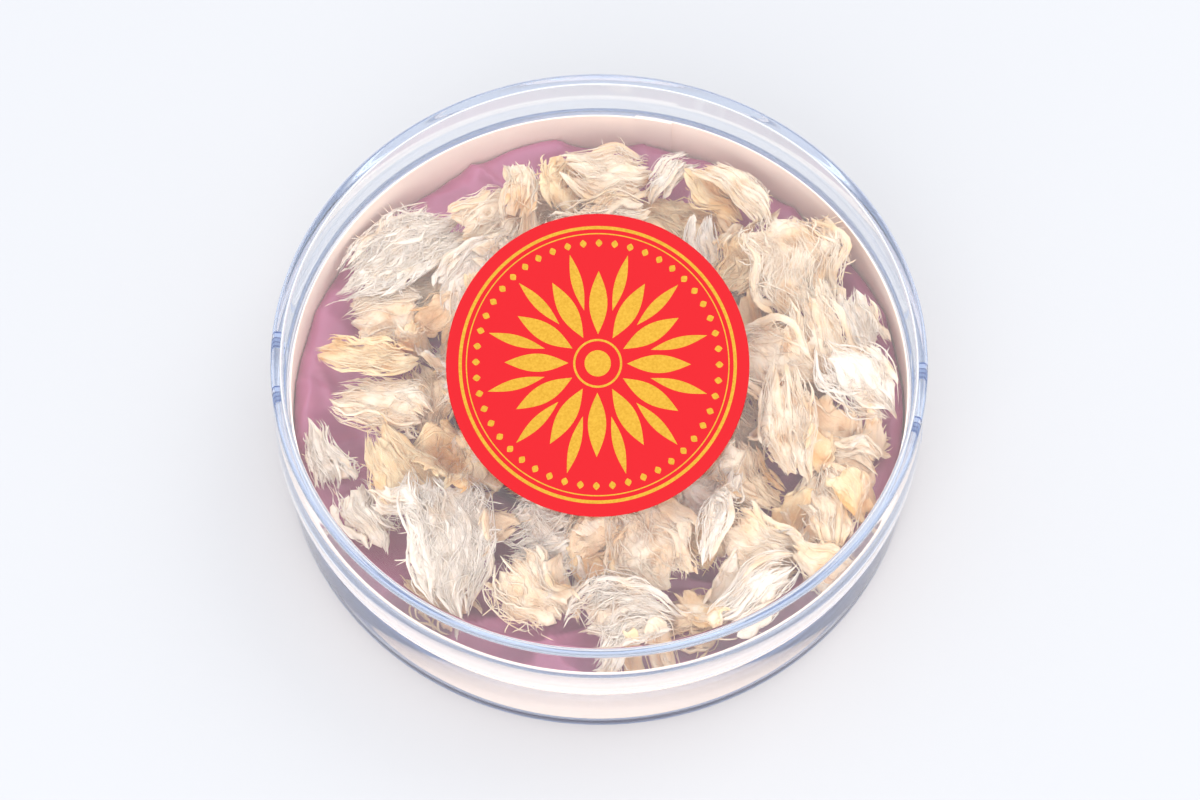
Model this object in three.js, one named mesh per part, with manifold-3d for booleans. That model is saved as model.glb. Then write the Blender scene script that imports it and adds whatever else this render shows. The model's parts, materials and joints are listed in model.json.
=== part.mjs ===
// Edible bird's nest in its round clear box: a turned lid and base, a card liner, a satin bed,
// torn fragments of dried nest heaped on it, and an oval label on the lid.
// Millimetres, +Z up, origin at the centre of the underside.
import * as THREE from "three";
import { mergeVertices } from "three/addons/utils/BufferGeometryUtils.js";
import Module from "manifold-3d";

const wasm = await Module();
wasm.setup();

// Driving dimensions of the box
const LID_RADIUS = 90;
const LID_TOP = 51.5;
const LID_PLATE = 2;
const LID_WALL = 2.4;
const LID_EDGE = 27.4;
const LID_ROUND = 1.2;
const BASE_RADIUS = 87.2;
const BASE_WALL = 1.2;
const BASE_FLOOR = 2.4;
const BASE_RIM = 35.8;
const BASE_ROUND = 1;
const LEDGE_RADIUS = 89.7;
const LEDGE_TOP = 27.1;
const LEDGE_DEPTH = 1.3;
const TURNS = 60;

// Snap tabs of the lid: a slit on each side of a tab, left and right
const TAB_ANGLES = [-3.6, 178.8];
const TAB_WIDTH = 17;
const SLIT_WIDTH = 1.8;
const SLIT_TOP = 38;

// Label, card liner and satin bed
const LABEL_WIDTH = 83;
const LABEL_LENGTH = 93.3;
const LABEL_PLACE = [-0.4, -1.85];
const LABEL_THICK = 0.2;
const LABEL_GAP = 0.05;
const CARD_THICK = 0.4;
const CARD_INSIDE = 84.7;
const CARD_OUTSIDE = 85.2;
const CARD_TOP = 35.2;
const CARD_SEAM = 83.6;
const CARD_LAP = 7;
const SATIN_RADIUS = 83.4;
const SATIN_MIDDLE = 15;
const SATIN_WALL = 22;
const SATIN_RINGS = 9;
const REST_GAP = 0.3;

// Folds of the satin that stand up beside the wall: angle, height, half-width in degrees
const FOLDS = [
  [104, 7, 7],
  [78, 4, 9],
  [22, 6, 8],
  [2, 3, 9],
  [150, 2, 12],
  [188, 3, 10],
  [222, 3, 9],
  [262, 3, 12],
  [318, 3, 10],
];

// Heap of fragments
const HEAP_RADIUS = 82.8;
const CEILING = LID_TOP - LID_PLATE - 0.4;
const CELL = 1;
const CELLS = 2 * Math.ceil(HEAP_RADIUS + 3);
const FRAGMENT_RINGS = 7;
const THIN_EDGE = 0.9;
const RAGGED_SIDE = 0.34;
const RAGGED_FACE = 0.15;
const DRIFT = 0.09;
const BUMP = 0.5;
const NEAR_REACH = 7;
const FAR_REACH = 13;
const LIFT_STEP = 0.2;

// Each fragment's form gives its half-width from one end of the grain, 0, to the other, 1
const FORMS = {
  sheet: (s) => 0.25 + 0.75 * Math.sin(Math.PI * s) ** 0.6,
  fan: (s) => 0.12 + 0.88 * Math.sin(Math.PI * s ** 1.6) ** 0.7,
  blade: (s) => 0.12 + 0.88 * Math.sin(Math.PI * s ** 0.8) ** 0.9,
  lump: (s) => 0.35 + 0.65 * Math.sin(Math.PI * s) ** 0.5,
  strand: (s) => 0.4 + 0.6 * Math.sin(Math.PI * s) ** 0.4,
};
const TONES = { white: 0xf4ebe2, ivory: 0xf0e0c8, honey: 0xe9c995, tan: 0xd9b48a };

// Fragments in the order in which they were laid, each resting on those before it:
// form, tone, middle x, y, heading of the grain, length, width, thickness, arch, curl, bend in degrees
const FRAGMENTS = [
  ["lump", "tan", -24, 23, 20, 42, 29, 9, 3, 0, 10],
  ["lump", "ivory", 8, 29, -15, 44, 29, 9, 3, 1, -12],
  ["lump", "tan", 36, 22, 60, 40, 26, 8, 3, 0, 8],
  ["lump", "honey", -26, -9, 95, 40, 28, 9, 2, 1, 15],
  ["lump", "ivory", 4, -4, 30, 42, 28, 9, 3, 0, -10],
  ["lump", "tan", 33, -9, 110, 38, 25, 8, 3, 1, 10],
  ["lump", "tan", -6, -34, 5, 44, 27, 8, 2, 0, 14],
  ["lump", "honey", 26, -38, -35, 38, 24, 8, 3, 1, -12],
  ["sheet", "tan", -11, 56, 10, 44, 20, 6, 2, 1, 12],
  ["sheet", "honey", 22, 55, -20, 36, 20, 6, 2, 1, -10],
  ["sheet", "tan", 52, 44, 80, 34, 18, 6, 2, 1, 8],
  ["sheet", "ivory", 59, 12, 95, 38, 20, 6, 2, 1, -8],
  ["sheet", "tan", 46, -50, -30, 36, 18, 5, 2, 1, 12],
  ["sheet", "tan", -38, -40, 30, 30, 18, 5, 2, 1, 10],
  ["sheet", "ivory", -44, 36, 50, 38, 20, 6, 2, 1, 10],
  ["sheet", "tan", -46, -1, 95, 31, 14, 6, 3, 2, 14],
  ["sheet", "ivory", -59, -4, -20, 34, 18, 4, 3, 1, -16],
  ["lump", "ivory", -59, 25, 12, 27, 18, 6, 3, 1, 12],
  ["sheet", "honey", -64, 10, -4, 34, 12, 5, 2, 2, 10],
  ["fan", "white", -75, -19, 284, 29, 15, 4, 2, 2, -6],
  ["lump", "white", -65, -38, -60, 27, 16, 6, 3, 1, 20],
  ["fan", "honey", -55, -25, -53, 40, 22, 5, 4, 2, 10],
  ["sheet", "white", -55, 44, 34, 54, 23, 4, 3, 2, 8],
  ["lump", "ivory", -32, 54, 35, 24, 16, 6, 3, 2, -14],
  ["strand", "ivory", -22, 62, 95, 27, 9, 4, 3, 2, 18],
  ["sheet", "honey", -11, 65, 80, 25, 15, 5, 4, 3, -20],
  ["fan", "white", -38, 37, 240, 33, 16, 4, 3, 2, 14],
  ["sheet", "ivory", 3, 68, -4, 32, 17, 5, 3, -2, 10],
  ["strand", "white", 19, 70, 55, 27, 8, 3, 3, 1, -20],
  ["sheet", "honey", 31, 62, -40, 24, 12, 4, 3, 2, 14],
  ["strand", "ivory", 39, 64, -40, 34, 9, 3, 3, 1, -18],
  ["sheet", "ivory", 0, 49, 15, 36, 19, 5, 4, 2, 12],
  ["blade", "white", 28, 45, 275, 26, 9, 3, 3, 2, 12],
  ["sheet", "honey", 40, 39, 65, 27, 15, 5, 3, 2, 14],
  ["lump", "ivory", 62, 45, -55, 20, 13, 6, 3, 1, -10],
  ["lump", "ivory", 55, 36, -70, 41, 27, 7, 4, 2, 12],
  ["sheet", "white", 73, 21, -62, 26, 12, 3, 3, 2, 10],
  ["sheet", "ivory", 61, 13, -58, 36, 18, 5, 3, 2, 16],
  ["sheet", "ivory", 46, 6, -28, 30, 19, 5, 4, 3, 18],
  ["fan", "white", 73, 0, 142, 32, 19, 4, 4, 2, -8],
  ["sheet", "ivory", 68, -20, -25, 28, 17, 5, 3, 2, 14],
  ["fan", "ivory", 65, -36, 100, 33, 20, 5, 3, 2, 8],
  ["sheet", "tan", 42, -26, -60, 27, 15, 5, 4, 4, 22],
  ["blade", "ivory", 52, -14, 280, 42, 15, 7, 4, 2, 8],
  ["lump", "ivory", 43, -50, -20, 28, 19, 6, 3, 2, 18],
  ["lump", "tan", 26, -67, 20, 22, 14, 5, 3, 1, 14],
  ["sheet", "white", 43, -65, 36, 30, 15, 5, 3, 2, 12],
  ["sheet", "tan", -43, -61, -35, 27, 13, 5, 3, 3, 10],
  ["sheet", "white", -14, -45, -12, 31, 23, 5, 4, 2, 16],
  ["fan", "white", -40, -47, 105, 50, 27, 4, 4, 2, 12],
  ["lump", "ivory", -19, -63, -48, 30, 19, 6, 3, 2, 12],
  ["sheet", "ivory", 14, -48, -62, 33, 23, 5, 4, 3, 16],
  ["fan", "white", 7, -68, 195, 39, 23, 5, 4, 2, 22],
  ["blade", "white", 31, -46, 258, 30, 8, 4, 3, 2, 6],
  ["sheet", "ivory", -18, 9, 40, 36, 22, 4, 3, 2, 14],
];

// A closed mesh whose shared points are merged, as a solid that can be joined and cut
function solidOf(geometry) {
  const bare = new THREE.BufferGeometry();
  const loose = geometry.index ? geometry.toNonIndexed() : geometry;
  bare.setAttribute("position", loose.getAttribute("position"));
  const merged = mergeVertices(bare, 1e-4);
  return new wasm.Manifold(
    new wasm.Mesh({
      numProp: 3,
      vertProperties: merged.attributes.position.array,
      triVerts: new Uint32Array(merged.index.array),
    }),
  );
}

function geometryOf(solid) {
  const mesh = solid.getMesh();
  const geometry = new THREE.BufferGeometry();
  geometry.setAttribute("position", new THREE.BufferAttribute(mesh.vertProperties, 3));
  geometry.setIndex(new THREE.BufferAttribute(mesh.triVerts, 1));
  return geometry;
}

// A profile of [radius, height] points turned about the Z axis
function turned(profile, turns = TURNS) {
  const points = profile.map(([radius, height]) => new THREE.Vector2(radius, height));
  return new THREE.LatheGeometry(points, turns).rotateX(Math.PI / 2);
}

// A quarter round of a profile about a centre, from one angle to the other, in degrees
function round(radius, height, size, from, to, steps = 3) {
  return Array.from({ length: steps + 1 }, (_, i) => {
    const angle = THREE.MathUtils.degToRad(from + ((to - from) * i) / steps);
    return [radius + size * Math.cos(angle), height + size * Math.sin(angle)];
  });
}

function finish(color, roughness, opacity = 1) {
  return new THREE.MeshStandardMaterial({
    color,
    roughness,
    metalness: 0,
    opacity,
    transparent: opacity < 1,
  });
}

const part = new THREE.Group();

function add(name, geometry, material) {
  geometry.computeVertexNormals();
  const mesh = new THREE.Mesh(geometry, material);
  mesh.name = name;
  part.add(mesh);
  return mesh;
}

// The lid: a flat plate with a skirt, and two snap tabs between slits in the skirt
function lidGeometry() {
  const inside = LID_RADIUS - LID_WALL;
  const underside = LID_TOP - LID_PLATE;
  const profile = [
    [0, underside],
    ...round(inside - LID_ROUND, underside - LID_ROUND, LID_ROUND, 90, 0),
    [inside, LID_EDGE],
    [LID_RADIUS, LID_EDGE],
    ...round(LID_RADIUS - LID_ROUND, LID_TOP - LID_ROUND, LID_ROUND, 0, 90),
    [0, LID_TOP],
  ];
  let lid = solidOf(turned(profile));
  for (const tab of TAB_ANGLES) {
    for (const side of [-1, 1]) {
      const away = THREE.MathUtils.radToDeg((side * TAB_WIDTH) / 2 / LID_RADIUS);
      const slit = new THREE.BoxGeometry(3 * LID_WALL, SLIT_WIDTH, 2 * (SLIT_TOP - LID_EDGE));
      slit.translate(LID_RADIUS - LID_WALL / 2, 0, LID_EDGE);
      slit.rotateZ(THREE.MathUtils.degToRad(tab + away));
      lid = lid.subtract(solidOf(slit));
    }
  }
  return geometryOf(lid);
}

// The base: a tray with a ledge round its wall, on which the lid's skirt stands
function baseGeometry() {
  const inside = BASE_RADIUS - BASE_WALL;
  return turned([
    [0, 0],
    ...round(BASE_RADIUS - BASE_ROUND, BASE_ROUND, BASE_ROUND, -90, 0),
    [BASE_RADIUS, LEDGE_TOP - LEDGE_DEPTH],
    [LEDGE_RADIUS, LEDGE_TOP - LEDGE_DEPTH],
    [LEDGE_RADIUS, LEDGE_TOP],
    [BASE_RADIUS, LEDGE_TOP],
    [BASE_RADIUS, BASE_RIM],
    [inside, BASE_RIM],
    ...round(inside - BASE_ROUND, BASE_FLOOR + BASE_ROUND, BASE_ROUND, 0, -90, 2),
    [0, BASE_FLOOR],
  ]);
}

// The card liner: one strip whose ends lap at the seam, so its radius grows along the strip
function linerGeometry() {
  const inner = [];
  const outer = [];
  for (let i = 0; i <= TURNS; i++) {
    const t = i / TURNS;
    const angle = THREE.MathUtils.degToRad(CARD_SEAM - CARD_LAP + t * (360 + CARD_LAP));
    const radius = CARD_INSIDE + t * (CARD_OUTSIDE - CARD_INSIDE);
    const direction = new THREE.Vector2(Math.cos(angle), Math.sin(angle));
    inner.unshift(direction.clone().multiplyScalar(radius));
    outer.push(direction.clone().multiplyScalar(radius + CARD_THICK));
  }
  const foot = BASE_FLOOR + REST_GAP;
  const strip = new THREE.Shape([...outer, ...inner]);
  const options = { depth: CARD_TOP - foot, bevelEnabled: false, curveSegments: 1 };
  return new THREE.ExtrudeGeometry(strip, options).translate(0, 0, foot);
}

// Height of the satin at a place: a shallow dish with soft waves, and folds that stand up at the wall
function satinHeight(x, y) {
  const radius = Math.hypot(x, y) / SATIN_RADIUS;
  const angle = THREE.MathUtils.radToDeg(Math.atan2(y, x));
  const dish = SATIN_MIDDLE + (SATIN_WALL - SATIN_MIDDLE) * radius ** 3;
  const wave = 0.9 * Math.sin(x / 13 + 1.2) * Math.sin(y / 16 - 0.4);
  let folds = 0;
  for (const [at, height, spread] of FOLDS) {
    const away = THREE.MathUtils.euclideanModulo(angle - at + 180, 360) - 180;
    folds += height * Math.exp(-((away / spread) ** 2)) * radius ** 5;
  }
  return dish + wave + folds;
}

// The satin bed: a closed pad, its top in rings of points from the middle to the wall
function satinGeometry() {
  const positions = [0, 0, satinHeight(0, 0)];
  const faces = [];
  const foot = BASE_FLOOR + REST_GAP;
  const ring = (index) => 1 + index * TURNS;
  for (let i = 1; i <= SATIN_RINGS; i++) {
    for (let j = 0; j < TURNS; j++) {
      const angle = (2 * Math.PI * j) / TURNS;
      const radius = SATIN_RADIUS * (i / SATIN_RINGS) ** 0.85;
      const x = radius * Math.cos(angle);
      const y = radius * Math.sin(angle);
      positions.push(x, y, satinHeight(x, y));
    }
  }
  for (let j = 0; j < TURNS; j++) {
    const angle = (2 * Math.PI * j) / TURNS;
    positions.push(SATIN_RADIUS * Math.cos(angle), SATIN_RADIUS * Math.sin(angle), foot);
  }
  positions.push(0, 0, foot);
  const last = positions.length / 3 - 1;
  for (let j = 0; j < TURNS; j++) {
    const next = (j + 1) % TURNS;
    faces.push(0, ring(0) + j, ring(0) + next);
    for (let i = 0; i < SATIN_RINGS; i++) {
      faces.push(ring(i) + j, ring(i + 1) + j, ring(i + 1) + next);
      faces.push(ring(i) + j, ring(i + 1) + next, ring(i) + next);
    }
    faces.push(ring(SATIN_RINGS) + j, last, ring(SATIN_RINGS) + next);
  }
  const geometry = new THREE.BufferGeometry();
  geometry.setAttribute("position", new THREE.Float32BufferAttribute(positions, 3));
  return geometry.setIndex(faces);
}

// The heap's upper surface so far, one height for each cell of a square grid
const heap = new Float32Array(CELLS * CELLS);
const cellOf = (value) => Math.round(value / CELL + CELLS / 2);
const placeOf = (cell) => (cell - CELLS / 2) * CELL;

function heapHeight(x, y) {
  const column = THREE.MathUtils.clamp(cellOf(x), 0, CELLS - 1);
  const row = THREE.MathUtils.clamp(cellOf(y), 0, CELLS - 1);
  return heap[row * CELLS + column];
}

// Mean height of the heap around a place, which is what a stiff torn piece settles along
function softHeight(x, y, reach) {
  let sum = 0;
  let count = 0;
  for (let dx = -reach; dx <= reach; dx += 2) {
    for (let dy = -reach; dy <= reach; dy += 2) {
      if (dx * dx + dy * dy > reach * reach) continue;
      const shrink = Math.min(1, HEAP_RADIUS / Math.hypot(x + dx, y + dy));
      sum += heapHeight((x + dx) * shrink, (y + dy) * shrink);
      count += 1;
    }
  }
  return sum / count;
}

// Calls back with the cell and the height of each grid place under a triangle
function eachCell(a, b, c, visit) {
  const area = (b.x - a.x) * (c.y - a.y) - (c.x - a.x) * (b.y - a.y);
  if (Math.abs(area) < 1e-6) return;
  const left = Math.max(0, cellOf(Math.min(a.x, b.x, c.x)));
  const right = Math.min(CELLS - 1, cellOf(Math.max(a.x, b.x, c.x)));
  const front = Math.max(0, cellOf(Math.min(a.y, b.y, c.y)));
  const back = Math.min(CELLS - 1, cellOf(Math.max(a.y, b.y, c.y)));
  for (let row = front; row <= back; row++) {
    for (let column = left; column <= right; column++) {
      const x = placeOf(column);
      const y = placeOf(row);
      const v = ((x - a.x) * (c.y - a.y) - (c.x - a.x) * (y - a.y)) / area;
      const w = ((b.x - a.x) * (y - a.y) - (x - a.x) * (b.y - a.y)) / area;
      if (v < 0 || w < 0 || v + w > 1) continue;
      visit(row * CELLS + column, a.z + v * (b.z - a.z) + w * (c.z - a.z), area);
    }
  }
}

// A repeatable value from -1 to 1 for a fragment, a ring and a point
function rough(fragment, ring, point) {
  const value = Math.sin(fragment * 12.9898 + ring * 78.233 + point * 37.719) * 43758.5453;
  return 2 * (value - Math.floor(value)) - 1;
}

// Points of one fragment: rings of six across the grain, laid along the heap below it
function fragmentPoints(index) {
  const [form, , midX, midY, heading, long, wide, thick, arch, curl, bend] = FRAGMENTS[index];
  const across = [-1, -0.5, 0.5, 1, 0.5, -0.5];
  const side = [0, -1, -1, 0, 1, 1];
  const points = [];
  for (let i = 0; i <= FRAGMENT_RINGS; i++) {
    const s = i / FRAGMENT_RINGS;
    const turn = THREE.MathUtils.degToRad(heading + bend * (2 * s - 1));
    const along = (s - 0.5) * long;
    const drift = rough(index, i, 0) * DRIFT * wide;
    const halfWidth = 0.5 * wide * FORMS[form](s);
    const depth = THIN_EDGE + (thick - THIN_EDGE) * Math.sin(Math.PI * s) ** 0.5;
    for (let j = 0; j < across.length; j++) {
      const torn = side[j] === 0 ? RAGGED_SIDE * rough(index, i, j + 1) : RAGGED_FACE * rough(index, i, 9);
      const v = across[j] * halfWidth * (1 + torn) + drift;
      let x = midX + along * Math.cos(turn) - v * Math.sin(turn);
      let y = midY + along * Math.sin(turn) + v * Math.cos(turn);
      const inside = Math.min(1, HEAP_RADIUS / Math.hypot(x, y));
      x *= inside;
      y *= inside;
      const lie = 0.5 * (softHeight(x, y, NEAR_REACH) + softHeight(x, y, FAR_REACH));
      const bow = arch * (1 - (2 * s - 1) ** 2) + curl * across[j] ** 2;
      const bump = BUMP * rough(index, i, j + 20);
      points.push(new THREE.Vector3(x, y, lie + bow + bump + (side[j] * depth) / 2));
    }
  }
  return points;
}

// Faces of a fragment, the same for all: six-sided rings and a flat cap at each end
function fragmentFaces() {
  const faces = [];
  const sides = 6;
  const last = FRAGMENT_RINGS * sides;
  for (let i = 0; i < FRAGMENT_RINGS; i++) {
    for (let j = 0; j < sides; j++) {
      const a = i * sides + j;
      const b = i * sides + ((j + 1) % sides);
      faces.push([a, b + sides, a + sides], [a, b, b + sides]);
    }
  }
  for (let j = 1; j < sides - 1; j++) {
    faces.push([0, j + 1, j]);
    faces.push([last, last + j, last + j + 1]);
  }
  return faces;
}

function meshOf(points, faces, lowered = 0) {
  const positions = points.flatMap((p) => [p.x, p.y, p.z - lowered]);
  const geometry = new THREE.BufferGeometry();
  geometry.setAttribute("position", new THREE.Float32BufferAttribute(positions, 3));
  return geometry.setIndex(faces.flat());
}

// Lays one fragment: lifted until its underside clears the heap, then until it clears each solid below
function laidFragment(index, faces, below) {
  const points = fragmentPoints(index);
  let lift = -Infinity;
  for (const [a, b, c] of faces) {
    eachCell(points[a], points[b], points[c], (cell, z, area) => {
      if (area < 0) lift = Math.max(lift, heap[cell] + REST_GAP - z);
    });
  }
  for (const point of points) point.z += lift;
  const box = new THREE.Box3().setFromPoints(points).expandByScalar(1);
  const near = below.filter((other) => other.box.intersectsBox(box));
  const touches = () => {
    const lowered = solidOf(meshOf(points, faces, REST_GAP));
    return near.some((other) => other.solid.intersect(lowered).volume() > 1e-4);
  };
  while (touches()) {
    for (const point of points) point.z += LIFT_STEP;
  }
  for (const [a, b, c] of faces) {
    eachCell(points[a], points[b], points[c], (cell, z, area) => {
      if (area > 0) heap[cell] = Math.max(heap[cell], z);
    });
  }
  return points;
}

const clear = () => finish(0xdfe8f6, 0.05, 0.3);
add("base_tray", baseGeometry(), clear());
add("card_liner", linerGeometry(), finish(0xf1e2d8, 0.7));
const satin = satinGeometry();
add("satin_bed", satin, finish(0xc98fa6, 0.35));

for (let row = 0; row < CELLS; row++) {
  for (let column = 0; column < CELLS; column++) {
    heap[row * CELLS + column] = satinHeight(placeOf(column), placeOf(row));
  }
}
const faces = fragmentFaces();
const laid = [{ solid: solidOf(satin), box: new THREE.Box3().setFromBufferAttribute(satin.attributes.position) }];
FRAGMENTS.forEach(([form, tone], index) => {
  const points = laidFragment(index, faces, laid);
  const geometry = meshOf(points, faces);
  laid.push({ solid: solidOf(geometry), box: new THREE.Box3().setFromPoints(points) });
  const top = Math.max(...points.map((p) => p.z));
  if (top > CEILING) console.warn("fragment", index + 1, "reaches", top.toFixed(1));
  const number = String(index + 1).padStart(2, "0");
  add("nest_" + form + "_" + number, geometry, finish(TONES[tone], 0.8));
});

add("lid", lidGeometry(), clear());
const label = new THREE.CylinderGeometry(LABEL_WIDTH / 2, LABEL_WIDTH / 2, LABEL_THICK, TURNS);
label.rotateX(Math.PI / 2);
label.scale(1, LABEL_LENGTH / LABEL_WIDTH, 1);
label.translate(...LABEL_PLACE, LID_TOP + LABEL_GAP + LABEL_THICK / 2);
add("label", label, finish(0xe8202c, 0.4));

export default part;
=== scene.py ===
# %% [markdown]
# A box of edible bird's nest
# Torn fragments of dried swiftlet nest lie heaped on mauve satin in a round clear box with a lid.
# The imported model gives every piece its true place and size. This script loads it and then dresses it:
# clear plastic that bends light, card, satin with folds, and nest made of thousands of dried strands.

# %% Load the frame
import json
import math

import bpy
import numpy as np
from mathutils import Matrix, Vector


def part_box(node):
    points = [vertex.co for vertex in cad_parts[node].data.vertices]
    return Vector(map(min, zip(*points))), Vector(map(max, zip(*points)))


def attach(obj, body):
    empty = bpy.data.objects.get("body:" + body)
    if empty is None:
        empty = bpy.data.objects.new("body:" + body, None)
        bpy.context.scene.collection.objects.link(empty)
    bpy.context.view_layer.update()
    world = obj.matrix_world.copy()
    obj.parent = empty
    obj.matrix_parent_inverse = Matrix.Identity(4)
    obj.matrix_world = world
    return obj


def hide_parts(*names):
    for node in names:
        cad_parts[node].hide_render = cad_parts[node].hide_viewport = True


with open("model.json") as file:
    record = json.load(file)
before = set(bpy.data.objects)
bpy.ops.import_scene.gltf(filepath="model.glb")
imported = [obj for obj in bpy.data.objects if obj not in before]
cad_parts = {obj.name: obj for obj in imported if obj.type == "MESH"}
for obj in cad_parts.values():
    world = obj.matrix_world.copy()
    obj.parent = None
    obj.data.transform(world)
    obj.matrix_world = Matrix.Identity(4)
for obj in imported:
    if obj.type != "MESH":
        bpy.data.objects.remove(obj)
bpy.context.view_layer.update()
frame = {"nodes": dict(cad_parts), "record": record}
NODES = frame["nodes"]
SLOTS = {row["node"]: row["material_slot"] for row in frame["record"]["subparts"]}
MM = 0.001

# %% [markdown]
# The camera comes first, because everything is judged through it.
# A product photographer stood a long lens about 1.8 m away, 63 degrees above the table, so the round
# box shows as a broad ellipse with its front wall just in sight. A long lens keeps its circles even.

# %% Camera
CAMERA_DISTANCE = 1.8
CAMERA_ELEVATION = math.radians(63.28)
CAMERA_TURN = math.radians(-0.011)
CAMERA_TILT = math.radians(0.379)
CAMERA_ROLL = math.radians(0.608)
# The focal length in pixels of a picture 1200 wide, which a sensor 36 mm wide turns into mm
LENS_PIXELS = 6412
PHOTO_WIDTH = 1200
SENSOR_MM = 36
CAMERA_SIGHT = 20

camera_data = bpy.data.cameras.new("long_lens")
camera_data.sensor_width = SENSOR_MM
camera_data.lens = LENS_PIXELS / PHOTO_WIDTH * SENSOR_MM
camera_data.clip_end = CAMERA_SIGHT
camera = bpy.data.objects.new("long_lens", camera_data)
bpy.context.scene.collection.objects.link(camera)
bpy.context.scene.camera = camera
place_of_camera = Vector((0, -math.cos(CAMERA_ELEVATION), math.sin(CAMERA_ELEVATION))) * CAMERA_DISTANCE
camera.matrix_world = (
    Matrix.Translation(place_of_camera)
    @ Matrix.Rotation(math.pi / 2 - CAMERA_ELEVATION, 4, "X")
    @ Matrix.Rotation(CAMERA_TURN, 4, "Y")
    @ Matrix.Rotation(CAMERA_TILT, 4, "X")
    @ Matrix.Rotation(CAMERA_ROLL, 4, "Z")
)
print("lens in mm:", round(camera_data.lens, 1))

# %% [markdown]
# A few small helpers serve every finish. The first turns a sRGB hex colour, as a paint chart gives it,
# into the linear light values that a renderer adds up. The second adds one shader node with its
# settings and its links, so that each material below reads as a list of steps. The last mixes two
# colours by cloudy noise, because card, cloth and foil are never quite even.

# %% Colour and shader helpers
def linear(hex_colour):
    """Linear RGBA of a sRGB hex colour: each channel plus 0.055, over 1.055, to the power 2.4, and the
    darkest ones just over 12.92."""
    channels = np.array([int(hex_colour[i : i + 2], 16) for i in (0, 2, 4)]) / 255
    toe = channels / 12.92
    curve = ((channels + 0.055) / 1.055) ** 2.4
    return (*np.where(channels <= 0.04045, toe, curve), 1.0)


def add_node(tree, kind, inputs=(), **settings):
    """Adds a shader node. inputs gives sockets by name or number, each a value, another socket, or a
    node whose first output is meant."""
    made = tree.nodes.new(kind)
    for name, value in settings.items():
        setattr(made, name, value)
    for key, value in dict(inputs).items():
        if isinstance(value, bpy.types.Node):
            value = value.outputs[0]
        if isinstance(value, bpy.types.NodeSocket):
            tree.links.new(value, made.inputs[key])
        else:
            made.inputs[key].default_value = value
    return made


def new_material(name):
    """An empty node material, and its node tree."""
    material = bpy.data.materials.new(name)
    material.use_nodes = True
    material.node_tree.nodes.clear()
    return material, material.node_tree


def mottled(tree, place, per_mm, detail, low, high):
    """Noise with so many clouds to a millimetre, and the colour that it mixes from two hex colours."""
    cloud = add_node(tree, "ShaderNodeTexNoise", {"Vector": place, "Scale": per_mm / MM, "Detail": detail})
    tint = add_node(tree, "ShaderNodeMix", {0: cloud, 6: linear(low), 7: linear(high)}, data_type="RGBA")
    return cloud, tint.outputs[2]


# %% [markdown]
# Every new piece is a mesh worked out as whole arrays: a list of points, a list of triangles, and for
# some pieces a map that follows the surface. One function hands those arrays to Blender, and one puts
# the finished piece on the body that it rides.

# %% Mesh helpers
# Edges that turn by more than this stay sharp
SHARP_ANGLE = math.radians(30)


def mesh_piece(name, points, triangles, material, sharp=False, grain=None, pale=None):
    """A mesh from points in mm and triangles. grain is a map in mm, pale a value for each point."""
    mesh = bpy.data.meshes.new(name)
    mesh.vertices.add(len(points))
    mesh.vertices.foreach_set("co", (np.asarray(points) * MM).ravel())
    mesh.loops.add(triangles.size)
    mesh.loops.foreach_set("vertex_index", triangles.ravel().astype(np.int32))
    mesh.polygons.add(len(triangles))
    mesh.polygons.foreach_set("loop_start", np.arange(0, triangles.size, 3, dtype=np.int32))
    mesh.update(calc_edges=True)
    if grain is not None:
        layer = mesh.uv_layers.new(name="grain")
        layer.data.foreach_set("uv", grain[triangles.ravel()].ravel())
    if pale is not None:
        layer = mesh.attributes.new("pale", "FLOAT", "POINT")
        layer.data.foreach_set("value", pale.ravel())
    mesh.polygons.foreach_set("use_smooth", np.ones(len(triangles), bool))
    if sharp:
        mesh.set_sharp_from_angle(angle=SHARP_ANGLE)
    mesh.materials.append(material)
    piece = bpy.data.objects.new(name, mesh)
    bpy.context.scene.collection.objects.link(piece)
    return piece


def dress(piece, node):
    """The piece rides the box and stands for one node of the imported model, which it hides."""
    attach(piece, "root")
    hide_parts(node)


def ring_faces(rings, around):
    """Triangles of a skin over rings of points, each ring closed on itself, two for each small square."""
    ring = np.arange(rings - 1)[:, None] * around
    step = np.arange(around)[None, :]
    a = ring + step
    b = ring + (step + 1) % around
    return np.stack([a, b, b + around, a, b + around, a + around], -1).reshape(-1, 3)


def capped_faces(rings, around):
    """Triangles of a skin over rings of points, and of a fan at each end. The two points that follow
    the rings are the middles of the first and the last fan."""
    step = np.arange(around)
    following = (step + 1) % around
    last = (rings - 1) * around
    first_fan = np.stack([following, step, np.full(around, last + around)], 1)
    last_fan = np.stack([last + step, last + following, np.full(around, last + around + 1)], 1)
    return np.vstack([ring_faces(rings, around), first_fan, last_fan])


# %% [markdown]
# The lid and the base are injection moulded, and their moulds are turned on a lathe. So each is one
# profile of radius and height carried round the axis. A cylinder with a bevel would be quicker, but
# clear plastic shows every fault of its profile as a bent highlight, so the small rounds are drawn out.

# %% Turned pieces
TURNS = 256
ARC_STEPS = 7


def arc(radius, height, size, start, end):
    """Points of a round: centre plus size times the cosine and sine of angles from start to end."""
    angle = np.radians(np.linspace(start, end, ARC_STEPS))
    return np.stack([radius + size * np.cos(angle), height + size * np.sin(angle)], 1)


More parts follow.
